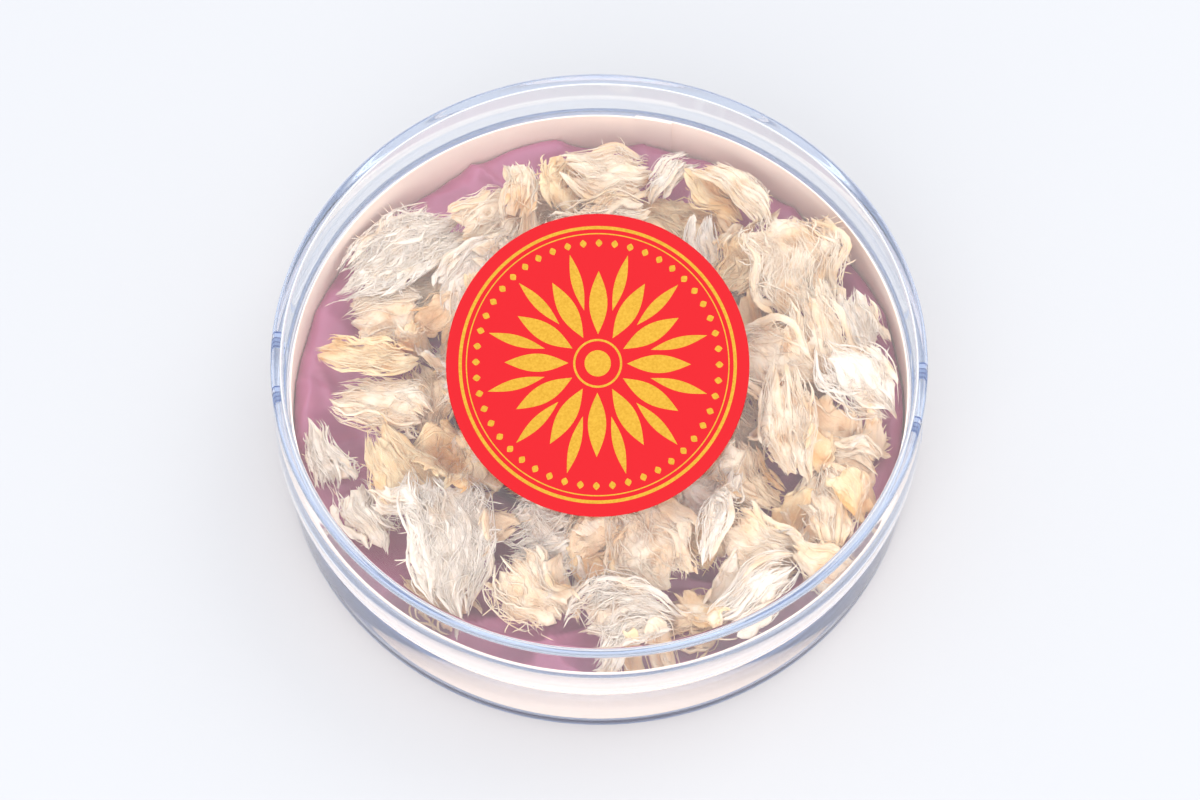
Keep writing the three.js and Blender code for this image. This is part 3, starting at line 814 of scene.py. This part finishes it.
def heart(form, kind):
    """Points, triangles, grain map and paleness of the fused heart, with painted light and shade in it."""
    seed = form["seed"]
    rings, around = form["heart"]
    sigma = np.linspace(0, 1, rings)[:, None]
    phi = np.linspace(0, 2 * np.pi, around, endpoint=False)[None, :]
    lane = np.sign(np.cos(phi)) * np.abs(np.cos(phi)) ** 0.8
    # The tear of each end follows the lanes, and the second end reads the noise nine units on
    ragged = kind["tear"] * (0.9 + 1.6 * fractal(lane * 3.1 + seed, seed * 1.7 + 9 * (sigma > 0.5)))
    ragged = np.clip(ragged, 0, DEEPEST_TEAR)
    s = HEART_INSET + (1 - 2 * HEART_INSET) * (ragged + (1 - 2 * ragged) * sigma)
    side = np.where(np.cos(phi) > 0, 1.0, -1.0)
    nibble = 1 - kind["nibble"] * (0.5 + 0.6 * fractal(s * form["length"] / 3.5 + side * 9, seed))
    s, t = bundled(form, kind, s, lane * kind["cover"] * nibble, lane, lane)
    thin = np.sqrt(np.clip(1 - np.abs(2 * sigma - 1) ** 6, 0.002, 1))
    points = lay(form, s, t, HEART_MIDDLE + HEART_HALF * np.sin(phi) * thin)
    along = s * form["length"]
    over = t * form["width"] / 2
    bend = 0.9 * fractal(along / 9 + seed, over / 6)
    groove = (1 - np.abs(np.sin(np.pi * (over / kind["groove"] + bend)))) ** 1.5
    lump = fractal(along / 5 + seed * 3, over / 3.4 + seed)
    pit = noise(along / PIT_LENGTH + seed * 5, over / PIT_WIDTH - seed)
    pit = np.clip((pit - 0.55) / 0.2, 0, 1) * (np.sin(phi) > 0.2)
    push = (kind["ridge"] * groove + kind["lump"] * lump - PIT_DEPTH * pit) * thin
    points[..., 2] += np.sin(phi) * push
    points[..., :2] += (np.cos(phi) * push * 0.5)[..., None] * form["across"]
    pair = np.arange(around // 2)
    quad = np.stack([pair, pair + 1, (around - pair - 1) % around, (around - pair) % around], 1)
    cap = np.concatenate([quad[:, [0, 1, 2]], quad[:, [0, 2, 3]]])
    cap = cap[(cap[:, 0] != cap[:, 1]) & (cap[:, 1] != cap[:, 2]) & (cap[:, 0] != cap[:, 2])]
    last = (rings - 1) * around
    faces = np.vstack([ring_faces(rings, around), cap[:, ::-1], cap + last])
    grain = np.stack(np.broadcast_arrays(along, over + form["width"] * (np.sin(phi) < 0)), -1)
    # Paler towards the thin edges; painted light on groove crests and lumps, and painted shade in the pits
    pale = 0.2 * t**2 + 0.15 * groove + 0.15 * lump - 0.5 * pit - 0.12
    return points.reshape(-1, 3), faces, grain.reshape(-1, 2), np.broadcast_to(pale, t.shape).reshape(-1)


# %% [markdown]
# Over the heart lie separate strands, in four sizes: ribbons up to some millimetres wide, bands, cords,
# and hairs as fine as thread. Neighbouring ribbons swell and narrow on their own, so long slits open
# between them as in the real thing. Particles or curves would be lost on export, so each strand is a
# closed tube, and all strands of one size are worked out in one array: strand by step by side.

# %% Routes of the strands
def routes_with_grain(rng, count, span, drift, reach):
    """Start and end of each strand: along the grain, keeping its lane but for a small drift."""
    long = rng.uniform(*span, count)
    start = rng.uniform(1 - reach, reach - long)
    lane = rng.uniform(-1, 1, count)
    return start, start + long, lane, lane + rng.normal(0, drift, count)


def routes_across(rng, count, span):
    """Strays that run from one lane to any other, and a short way along the grain."""
    start = rng.uniform(0.15, 0.85, count)
    end = np.clip(start + rng.uniform(-span, span, count), 0.05, 0.95)
    return start, end, rng.uniform(-1, 1, count), rng.uniform(-1, 1, count)


def routes_of_fringe(rng, count, length):
    """Short hairs that leave the torn edge: out over a side, or out past an end."""
    at_end = rng.random(count) < 0.4
    side = np.where(rng.random(count) < 0.5, 1, -1)
    along = rng.uniform(0.04, 0.96, count)
    end = np.where(side > 0, rng.uniform(0.7, 0.9, count), rng.uniform(0.1, 0.3, count))
    start = np.where(at_end, end, along)
    lane = np.where(at_end, rng.uniform(-0.95, 0.95, count), side * rng.uniform(0.5, 0.85, count))
    reach = np.where(at_end, side * rng.uniform(0.05, 0.16, count), rng.normal(0, 3.5, count) / length)
    out = np.where(at_end, rng.normal(0, 0.25, count), side * rng.uniform(0.2, 0.6, count))
    return start, start + reach, lane, lane + out


# %% Strands
def strands(form, kind, rng, routes, steps, sides, radius, flat, wander, level, lift, edge=1.06):
    """Points, triangles, grain map and paleness of a set of strands, where lower strands are darker as
    painted shade. Each is a tube of an oval section that goes from its start to its end, wanders by noise,
    tapers, and lifts off at its ends."""
    start, end, lane, goal = (row[:, None] for row in routes)
    count = len(start)
    k = np.linspace(0, 1, steps)[None, :]
    tag = rng.uniform(0, 200, (count, 1))
    run = np.abs(end - start) * form["length"] + np.abs(goal - lane) * form["width"] / 2
    t = lane + (goal - lane) * k + wander * fractal(k * run / 9 + tag, tag) * np.minimum(1, run / 12)
    s, t = bundled(form, kind, start + (end - start) * k, np.clip(t, -edge, edge), lane, goal)
    h = rng.uniform(*level, (count, 1)) + 0.08 * noise(k * run / 6 + tag, tag + 5)
    ends = np.abs(2 * k - 1) ** 3
    spine = lay(form, s, t, h, lift * rng.random((count, 1)) ** 2 * ends)
    ahead = np.gradient(spine, axis=1)
    ahead /= np.linalg.norm(ahead, axis=2, keepdims=True) + 1e-9
    aside = np.cross(ahead, [0, 0, 1])
    aside /= np.linalg.norm(aside, axis=2, keepdims=True) + 1e-9
    tilt = 0.35 * noise(k * run / 8 + tag, tag + 11)[..., None]
    aside = aside * np.cos(tilt) + np.cross(ahead, aside) * np.sin(tilt)
    above = np.cross(aside, ahead)
    taper = 0.1 + 0.9 * np.clip(1 - np.abs(2 * k - 1) ** 4, 0, 1) ** 0.75
    size = form["fine"] * rng.uniform(*radius, (count, 1)) * taper
    wide = size * rng.uniform(*flat, (count, 1)) * (1 + 0.55 * fractal(k * run / 4.5 + tag, tag, 2))
    wide = np.clip(wide, size, form["width"] / 7 + size)
    angle = (2 * np.pi * np.arange(sides) / sides)[None, None, :]
    groove = noise((k * run)[..., None] / 2.2 + tag[..., None], np.arange(sides) * 2.3 + tag[..., None])
    ridge = 1 + (0.55 * groove if sides > 4 else 0)
    out = (aside * wide[..., None])[:, :, None] * np.cos(angle)[..., None]
    out = out + (above * size[..., None])[:, :, None] * (np.sin(angle) * ridge)[..., None]
    points = (spine[:, :, None] + out).reshape(-1, 3)
    fan = np.array([[0, j, j + 1] for j in range(1, sides - 1)])
    one = np.vstack([ring_faces(steps, sides), fan[:, ::-1], fan + (steps - 1) * sides])
    faces = (one[None] + np.arange(count)[:, None, None] * steps * sides).reshape(-1, 3)
    shape = (count, steps, sides)
    along = np.broadcast_to((s * form["length"])[..., None], shape)
    seat = np.broadcast_to(tag[..., None] + wide[..., None] * np.cos(angle), shape)
    # Painted shade: strands that lie lower in the sheet lean to the thick colour, as crevices look in shade
    painted_depth_shade = np.clip(h - 0.9, -0.5, 0.2)
    thin = 0.4 * (0.2 - np.mean(radius))
    tone = rng.uniform(-0.16, 0.16, (count, 1)) + 0.2 * ends + 0.9 * painted_depth_shade + thin
    tone = np.broadcast_to(tone[..., None], shape)
    return points, faces, np.stack([along, seat], -1).reshape(-1, 2), tone.reshape(-1)


# %% [markdown]
# Dried nest is a protein glass. Thick fused parts let light in and look honey or tan; fine strands
# scatter it and look white. A little subsurface scattering, about a millimetre deep, softens it, some
# roughness gives its dry skin, and a grain map laid along the strands its streaks. One function makes
# the finish, and the tones of the heap differ only in their two colours.

# %% Dried nest
NEST_TONES = {
    "nest_white": ("EBC8A0", "F5E7D8"),
    "nest_ivory": ("EABA80", "FAE7CF"),
    "nest_honey": ("E9AE64", "FAE1B9"),
    "nest_tan": ("D5A066", "F6DCBC"),
}
# Threads are 0.2 mm apart; streaks of 0.7 mm, three times as long, still show from the camera
STREAKS_PER_MM = (0.48, 1.5, 1)
# Stains of about 9 mm where the nest was thicker or touched the wall of the cave
STAINS_PER_MM = 0.11


def nest_material(slot, thick, fine):
    """Dried strands of nest: thick is the colour of fused parts, fine that of loose hairs. Streaks and
    paleness move the colour to fine, and stains back to thick. The paleness also carries painted light on
    raised parts and painted shade in pits and low strands."""
    material, tree = new_material("dried_" + slot + "_strands")
    place = add_node(tree, "ShaderNodeTexCoord").outputs["Object"]
    grain = add_node(tree, "ShaderNodeUVMap", uv_map="grain")
    pale = add_node(tree, "ShaderNodeAttribute", attribute_name="pale").outputs["Fac"]
    stretch = add_node(tree, "ShaderNodeMapping", {"Vector": grain, "Scale": STREAKS_PER_MM})
    streak = add_node(tree, "ShaderNodeTexNoise", {
        "Vector": stretch, "Scale": 1.0, "Detail": 5.0, "Roughness": 0.72,
    })
    stain = add_node(tree, "ShaderNodeTexNoise", {
        "Vector": place, "Scale": STAINS_PER_MM / MM, "Detail": 3.0,
    })
    amount = add_node(tree, "ShaderNodeMapRange", {
        "Value": stain, "From Min": 0.46, "From Max": 0.7, "To Min": 0.0, "To Max": -0.6,
    })
    lighter = add_node(tree, "ShaderNodeMath", {0: pale, 1: amount}, operation="ADD")
    streaked = add_node(tree, "ShaderNodeMath", {
        0: streak, 1: 0.7, 2: lighter,
    }, operation="MULTIPLY_ADD", use_clamp=True)
    tint = add_node(tree, "ShaderNodeMix", {
        0: streaked, 6: linear(thick), 7: linear(fine),
    }, data_type="RGBA")
    ridges = add_node(tree, "ShaderNodeBump", {"Strength": 0.8, "Distance": 0.7 * MM, "Height": streak})
    strand = add_node(tree, "ShaderNodeBsdfPrincipled", {
        "Base Color": tint.outputs[2],
        "Roughness": 0.5,
        "IOR": 1.5,
        "Specular IOR Level": 0.35,
        "Subsurface Weight": 0.2,
        "Subsurface Radius": (1.0, 0.75, 0.5),
        "Subsurface Scale": MM,
        "Normal": ridges,
    })
    add_node(tree, "ShaderNodeOutputMaterial", {"Surface": strand})
    return material


nest = {slot: nest_material(slot, *tones) for slot, tones in NEST_TONES.items()}

# %% [markdown]
# Each kind of fragment gets its own recipe: how torn its ends are, how much of its form is fused, how
# deep its grooves, and how many ribbons, bands, cords and hairs lie on it. White wispy pieces are
# mostly hairs that cross like a net; honey ones are smooth and fused; tan ones are rough.

# %% Recipes
# By slot: fused share of the width, tear of the ends, nibbles of the edge; height of ridges and lumps
# and spacing of grooves in mm; paleness; reach and pull of the arms and how far they may stop short;
# then the share of strands of each size
RECIPES = {
    "nest_white": dict(cover=0.86, tear=0.13, nibble=0.4, ridge=0.3, lump=0.4, groove=1.2, pale=0.72,
                       arm=0.28, clump=0.65, short=0.22,
                       ribbons=0.7, bands=1.2, cords=1.3, hairs=1.5, across=1.6, fringe=1.2),
    "nest_ivory": dict(cover=0.94, tear=0.08, nibble=0.32, ridge=0.28, lump=0.55, groove=1.5, pale=0.6,
                       arm=0.18, clump=0.45, short=0.16,
                       ribbons=1.0, bands=1.0, cords=1.0, hairs=1.0, across=0.9, fringe=1.0),
    "nest_honey": dict(cover=0.96, tear=0.06, nibble=0.26, ridge=0.24, lump=0.55, groove=1.9, pale=0.5,
                       arm=0.18, clump=0.4, short=0.16,
                       ribbons=0.9, bands=0.8, cords=0.8, hairs=0.8, across=0.6, fringe=0.8),
    "nest_tan": dict(cover=0.92, tear=0.09, nibble=0.36, ridge=0.32, lump=0.65, groove=1.4, pale=0.48,
                     arm=0.2, clump=0.5, short=0.18,
                     ribbons=0.9, bands=1.0, cords=1.0, hairs=1.0, across=1.1, fringe=1.0),
}
# Strands on a fragment of 450 square millimetres, by size: their count, then their shape. Radii are in
# mm, flat is the width as a multiple of the radius, level runs from the lower to the upper surface, and
# edge is the lane at which they stop
STRANDS = {
    "ribbons": (4, dict(steps=14, sides=8, radius=(0.3, 0.45), flat=(2.2, 4.2), wander=0.16,
                        level=(0.5, 0.86), lift=0.8)),
    "bands": (11, dict(steps=12, sides=5, radius=(0.2, 0.32), flat=(1.6, 3.0), wander=0.22,
                       level=(0.6, 0.93), lift=1.0)),
    "cords": (27, dict(steps=10, sides=3, radius=(0.13, 0.22), flat=(1.0, 1.9), wander=0.28,
                       level=(0.7, 0.98), lift=1.1)),
    "hairs": (48, dict(steps=8, sides=3, radius=(0.07, 0.13), flat=(1.0, 1.4), wander=0.32,
                       level=(0.76, 1.04), lift=1.4)),
    "across": (16, dict(steps=7, sides=3, radius=(0.07, 0.12), flat=(1.0, 1.4), wander=0.36,
                        level=(0.8, 1.02), lift=0.6)),
    "fringe": (26, dict(steps=6, sides=3, radius=(0.09, 0.18), flat=(1.0, 1.8), wander=0.45,
                        level=(0.35, 0.9), lift=0.5, edge=1.35)),
}
# Strands along the grain: the least and greatest share of its length, and their drift from lane to lane
SPANS = {"ribbons": (0.5, 0.9), "bands": (0.35, 0.9), "cords": (0.25, 0.9), "hairs": (0.2, 0.8)}
DRIFTS = {"ribbons": 0.1, "bands": 0.15, "cords": 0.22, "hairs": 0.32}
# Strands across the grain run this share of its length at most
CROSSING = 0.35
USUAL_AREA = 450
# Within this radius the label covers the heap, and fewer strands show
COVERED_RADIUS = 30
COVERED_SHARE = 0.5
COVERED_HEART = (32, 28)
SHRED_DENSITY = 0.5
# Nothing goes further out or up than this, in mm
WALL_LIMIT = 84.4
CEILING = LID_UNDERSIDE - 0.3


def strand_routes(size, rng, count, length):
    """Routes for one size of strand."""
    if size == "fringe":
        return routes_of_fringe(rng, count, length)
    if size == "across":
        return routes_across(rng, count, CROSSING)
    return routes_with_grain(rng, count, SPANS[size], DRIFTS[size], 1.0)


def torn_piece(form, slot, rng, least=4):
    """Everything that one fragment is made of, in one set of arrays, kept inside the box."""
    kind = RECIPES[slot]
    form["arms"] = torn_arms(rng, form["width"]), torn_arms(rng, form["width"])
    share = form["length"] * form["width"] / USUAL_AREA
    if np.hypot(*form["middle"]) < COVERED_RADIUS and form["fine"] == 1:
        share *= COVERED_SHARE
        form["heart"] = COVERED_HEART
    share *= SHRED_DENSITY if form["fine"] < 1 else 1
    made = [heart(form, kind)]
    for size, (usual, shape) in STRANDS.items():
        count = max(least, round(usual * kind.get(size, 1) * share))
        routes = strand_routes(size, rng, count, form["length"])
        made.append(strands(form, kind, rng, routes, **shape))
    points, faces, grain, pale = joined(made)
    radius = np.hypot(points[:, 0], points[:, 1])
    points[:, :2] *= np.minimum(1, WALL_LIMIT / radius)[:, None]
    points[:, 2] = np.minimum(points[:, 2], CEILING)
    return points, faces, grain, pale + kind["pale"]


def joined(made):
    """Several sets of arrays as one, the triangles counted on from set to set."""
    starts = np.cumsum([0] + [len(points) for points, *_ in made])
    faces = np.vstack([faces + start for (_, faces, *_), start in zip(made, starts)])
    return (np.vstack([row[0] for row in made]), faces, np.vstack([row[2] for row in made]),
            np.concatenate([row[3] for row in made]))


# %% Fragments
fragments = sorted(name for name in NODES if name.startswith("nest_"))
nest_triangles = 0
for index, node in enumerate(fragments):
    rng = np.random.default_rng(100 + index)
    points, faces, grain, pale = torn_piece(measure(node, index * 3.71), SLOTS[node], rng)
    dress(mesh_piece("torn_" + node, points, faces, nest[SLOTS[node]], grain=grain, pale=pale), node)
    nest_triangles += len(faces)
print("fragments:", len(fragments), "triangles:", nest_triangles)

# %% [markdown]
# Between the large fragments lie shreds that broke off in packing, from 9 to 24 mm long. They are too
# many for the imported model, so they exist only here. A shred slides down until it lies in a gap, so the
# lowest of a few random places is taken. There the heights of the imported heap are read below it,
# smoothed as a soft thing would bend, and the shred lies on top.

# %% Loose shreds
SHREDS = 172
SHRED_FIELD = 70
SHRED_MIDDLE = np.array([8.0, -8.0])
SHRED_TRIES = 6
SHRED_LENGTH = (9, 24)
# Width and bend as shares of the length
SHRED_WIDTH = (0.35, 0.68)
SHRED_BEND = (-0.25, 0.25)
# Its strands are this much finer than those of a fragment
SHRED_FINE = 0.7
SHRED_HEART = (16, 14)
SHRED_SHARE = {"nest_white": 0.24, "nest_ivory": 0.36, "nest_honey": 0.2, "nest_tan": 0.2}
# A shred sags at most this far into what it lies on, in mm, and its thickness is this and a share of
# its width
SHRED_SAG = 1.0
SHRED_THICK = (0.6, 0.12)
heap = np.concatenate([triangles_of(name) for name in fragments + ["satin_bed"]])


def lowest_place(rng):
    """The lowest of a few places, spread evenly over the field."""
    away = SHRED_FIELD * np.sqrt(rng.random(SHRED_TRIES))
    around = rng.uniform(0, 2 * np.pi, SHRED_TRIES)
    places = SHRED_MIDDLE + np.stack([away * np.cos(around), away * np.sin(around)], 1)
    return places[heights(heap, places[:, 0], places[:, 1])[1].argmin()]


def shred_form(rng, seed):
    """A small form: a bent spindle in plan, its lower surface draped over the heap."""
    length = rng.uniform(*SHRED_LENGTH)
    width = length * rng.uniform(*SHRED_WIDTH)
    heading = rng.uniform(0, 2 * np.pi)
    along = np.array([np.cos(heading), np.sin(heading)])
    across = np.array([-along[1], along[0]])
    station = np.linspace(-length / 2, length / 2, STATIONS)
    share = np.linspace(0, 1, STATIONS)
    centre = rng.uniform(*SHRED_BEND) * length * (0.5 - (2 * share - 1) ** 2)
    half = width / 2 * (0.55 + 0.45 * np.sin(np.pi * share) + 0.25 * noise(share * 3 + seed, seed))
    v = centre[:, None] + half[:, None] * np.linspace(-OUTER_LANE, OUTER_LANE, LANES)
    middle = lowest_place(rng)
    place = middle + station[:, None, None] * along + v[..., None] * across
    near = (np.abs(heap[..., :2] - middle).min(1) < length).all(1)
    over = heights(heap[near], place[..., 0].ravel(), place[..., 1].ravel())[1].reshape(v.shape)
    over = np.where(np.isfinite(over), over, over[np.isfinite(over)].mean())
    draped = np.maximum(smoothed(smoothed(over, 30).T, 12).T, smoothed(over, 4) - SHRED_SAG)
    least, by_width = SHRED_THICK
    return {
        "middle": middle, "along": along, "across": across, "station": station, "seed": seed,
        "centre": centre, "half": half, "under": draped - 0.3, "over": draped + by_width * width + least,
        "length": length, "width": 2 * half.mean(), "fine": SHRED_FINE, "heart": SHRED_HEART,
    }


rng = np.random.default_rng(7)
loose = {slot: [] for slot in NEST_TONES}
for number in range(SHREDS):
    slot = rng.choice(list(SHRED_SHARE), p=list(SHRED_SHARE.values()))
    loose[slot].append(torn_piece(shred_form(rng, 300 + number * 1.7), slot, rng, least=1))
for slot, made in loose.items():
    points, faces, grain, pale = joined(made)
    piece = mesh_piece("loose_shreds_" + slot, points, faces, nest[slot], grain=grain, pale=pale)
    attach(piece, "root")
    print(slot, "shreds:", len(made), "triangles:", len(faces))

# %% [markdown]
# The label is an oval of glossy red paper stuck on the lid, a little longer than wide, with a plain
# ornament in gold foil: a rosette of petals inside rings. The foil is flat, so it is a change of
# material and not of height. The ornament is drawn in polar terms, radius and angle about the label's
# middle, because then a ring is one comparison and a petal another, and then stretched as the oval is.

# %% Label
LABEL_LOW, LABEL_HIGH = (np.array(corner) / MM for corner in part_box("label"))
LABEL_MIDDLE = (LABEL_LOW + LABEL_HIGH)[:2] / 2
LABEL_WIDTH, LABEL_LENGTH = (LABEL_HIGH - LABEL_LOW)[:2]
LABEL_STRETCH = LABEL_LENGTH / LABEL_WIDTH
LABEL_RADIUS = LABEL_WIDTH / 2
# Rings of foil: radius and half-width in mm
FOIL_RINGS = ((37.6, 0.45), (35.9, 0.16), (6.4, 0.3), (0.0, 3.6))
# Rounds of petals: count, first angle in turns, inner and outer radius and half-width in mm
FOIL_PETALS = ((12, 0.0, 8.0, 25.5, 2.5), (12, 0.5, 15.0, 31.0, 1.5), (48, 0.0, 32.2, 34.4, 0.9))


# Red of the paper, dark and bright gold of the foil
LABEL_RED = "C00D1A"
FOIL_GOLDS = ("B0811F", "DDB044")
# Roughness of paper and foil; the foil is lacquered, so it is not quite all metal
LABEL_ROUGHNESS = (0.42, 0.34)
FOIL_METAL = 0.75


def label_material():
    """Red gloss paper printed with foil: paper where the mask is 0, metal where it is 1. A petal covers
    places whose way from its middle line is less than half its width, a sine of the radius."""
    material, tree = new_material("gloss_paper_with_hot_foil")
    place = add_node(tree, "ShaderNodeTexCoord").outputs["Object"]
    centred = add_node(tree, "ShaderNodeMapping", {
        "Vector": place,
        "Location": (-LABEL_MIDDLE[0] * MM, -LABEL_MIDDLE[1] * MM, 0),
    })
    in_mm = add_node(tree, "ShaderNodeVectorMath", {
        0: centred, 1: (1 / MM, 1 / MM / LABEL_STRETCH, 0),
    }, operation="MULTIPLY")
    axes = add_node(tree, "ShaderNodeSeparateXYZ", {0: in_mm}).outputs
    radius = add_node(tree, "ShaderNodeVectorMath", {0: in_mm}, operation="LENGTH").outputs["Value"]
    angle = add_node(tree, "ShaderNodeMath", {0: axes["Y"], 1: axes["X"]}, operation="ARCTAN2")
    masks = [
        add_node(tree, "ShaderNodeMath", {0: radius, 1: at, 2: half}, operation="COMPARE")
        for at, half in FOIL_RINGS
    ]
    for count, first, inner, outer, half in FOIL_PETALS:
        turn = 2 * math.pi / count
        aside = add_node(tree, "ShaderNodeMath", {
            0: angle, 1: 1 / turn, 2: first + 0.5,
        }, operation="MULTIPLY_ADD")
        steps = (("FRACT", 0), ("SUBTRACT", 0.5), ("ABSOLUTE", 0), ("MULTIPLY", turn), ("MULTIPLY", radius))
        for operation, by in steps:
            aside = add_node(tree, "ShaderNodeMath", {0: aside, 1: by}, operation=operation)
        share = add_node(tree, "ShaderNodeMapRange", {
            "Value": radius, "From Min": inner, "From Max": outer, "To Max": math.pi,
        })
        wide = add_node(tree, "ShaderNodeMath", {0: share}, operation="SINE")
        wide = add_node(tree, "ShaderNodeMath", {0: wide, 1: half}, operation="MULTIPLY")
        masks.append(add_node(tree, "ShaderNodeMath", {0: aside, 1: wide}, operation="LESS_THAN"))
    foil = masks[0]
    for mask in masks[1:]:
        foil = add_node(tree, "ShaderNodeMath", {0: foil, 1: mask}, operation="MAXIMUM")
    # Foil is pressed over paper and crinkles at about two thirds of a millimetre
    crinkle, gold = mottled(tree, place, 1.5, 3.0, *FOIL_GOLDS)
    tint = add_node(tree, "ShaderNodeMix", {0: foil, 6: linear(LABEL_RED), 7: gold}, data_type="RGBA")
    matt, bright = LABEL_ROUGHNESS
    rough = add_node(tree, "ShaderNodeMapRange", {"Value": foil, "To Min": matt, "To Max": bright})
    metal = add_node(tree, "ShaderNodeMath", {0: foil, 1: FOIL_METAL}, operation="MULTIPLY")
    bump = add_node(tree, "ShaderNodeBump", {"Strength": 0.12, "Distance": 0.05 * MM, "Height": crinkle})
    face = add_node(tree, "ShaderNodeBsdfPrincipled", {
        "Base Color": tint.outputs[2],
        "Metallic": metal,
        "Roughness": rough,
        "Specular IOR Level": 0.2,
        "Normal": bump,
    })
    add_node(tree, "ShaderNodeOutputMaterial", {"Surface": face})
    return material


low, high = LABEL_LOW[2], LABEL_HIGH[2]
chamfer = (high - low) / 3
label_profile = [
    [0, low],
    [LABEL_RADIUS - chamfer, low],
    [LABEL_RADIUS, low + chamfer],
    [LABEL_RADIUS, high - chamfer],
    [LABEL_RADIUS - chamfer, high],
    [0, high],
]
label_points, label_faces = turned(label_profile)
label_points[:, 1] *= LABEL_STRETCH
label_points[:, :2] += LABEL_MIDDLE
label = mesh_piece("foil_label", label_points, label_faces, label_material(), sharp=True)
dress(label, "label")
print("label in mm:", round(float(LABEL_WIDTH), 1), "by", round(float(LABEL_LENGTH), 1))

# %% [markdown]
# The photograph was lit for a shop: a white sweep, and white all round that gives most of the light. One
# broad soft light stands behind and to the right, and a second in front opens the shadows. The sky is a
# gradient rather than one flat white, because the renderer sends light rays to a sky only when it
# varies, and it needs them to light the heap through the lid.

# %% Table, sky and lights
TABLE_SIZE = 6.0
TABLE_DROP = 0.00005
SKY_STRENGTH = 1.56
SOFTBOX_SIZE = 1.3


def table_material():
    """Matt white sweep paper with a cool cast."""
    material, tree = new_material("matt_sweep_paper")
    paper = add_node(tree, "ShaderNodeBsdfPrincipled", {
        "Base Color": linear("BEC1C6"),
        "Roughness": 0.9,
        "Specular IOR Level": 0.2,
    })
    add_node(tree, "ShaderNodeOutputMaterial", {"Surface": paper})
    return material


corners = np.array([[-1, -1, 0], [1, -1, 0], [1, 1, 0], [-1, 1, 0]]) * (TABLE_SIZE / 2 / MM)
table_points = corners - [0, 0, TABLE_DROP / MM]
table = mesh_piece("sweep", table_points, np.array([[0, 1, 2], [0, 2, 3]]), table_material())

world = bpy.data.worlds.new("studio")
bpy.context.scene.world = world
world.use_nodes = True
sky = world.node_tree
sky.nodes.clear()
direction = add_node(sky, "ShaderNodeTexCoord")
upward = add_node(sky, "ShaderNodeSeparateXYZ", {0: direction.outputs["Generated"]})
height = add_node(sky, "ShaderNodeMapRange", {
    "Value": upward.outputs["Z"], "From Min": -0.2, "From Max": 1.0,
})
shade = add_node(sky, "ShaderNodeMix", {
    0: height, 6: linear("E6E8EE"), 7: linear("FFFFFF"),
}, data_type="RGBA")
glow = add_node(sky, "ShaderNodeBackground", {"Color": shade.outputs[2], "Strength": SKY_STRENGTH})
add_node(sky, "ShaderNodeOutputWorld", {"Surface": glow})


def softbox(name, place, power, colour, skips):
    """A square area light that looks at the box. It throws no light and no reflection on what it skips."""
    lamp = bpy.data.lights.new(name, "AREA")
    lamp.size = SOFTBOX_SIZE
    lamp.energy = power
    lamp.color = linear(colour)[:3]
    holder = bpy.data.objects.new(name, lamp)
    holder.location = place
    holder.rotation_euler = (-Vector(place)).to_track_quat("-Z", "Y").to_euler()
    bpy.context.scene.collection.objects.link(holder)
    skipped = bpy.data.collections.new(name + "_skips")
    holder.light_linking.receiver_collection = skipped
    for piece in skips:
        skipped.objects.link(piece)
    for entry in skipped.collection_objects:
        entry.light_linking.link_state = "EXCLUDE"


# Both lights are flagged off the clear plastic, where they would stand as hard white windows
softbox("key_softbox", (1.2, 1.05, 1.3), 10, "FFF4E8", (lid, base))
softbox("fill_softbox", (-0.4, -1.5, 0.9), 14, "FFF6EE", (lid, base))

# %% [markdown]
# Clear plastic needs long light paths: each wall is crossed at two faces, and light runs along the
# rim by reflection inside it. The heap needs a good many too, because light that falls between pale
# strands is scattered many times before it comes out. The picture is shown with the plain standard
# curve, so that a red stays as red as it was chosen.

# %% Light paths and tone
CLEAR_BOUNCES = 20
SCATTERED_BOUNCES = 12

cycles = bpy.context.scene.cycles
cycles.max_bounces = CLEAR_BOUNCES
cycles.transmission_bounces = CLEAR_BOUNCES
cycles.glossy_bounces = CLEAR_BOUNCES
cycles.diffuse_bounces = SCATTERED_BOUNCES
cycles.caustics_refractive = False
cycles.caustics_reflective = False
bpy.context.scene.view_settings.view_transform = "Standard"
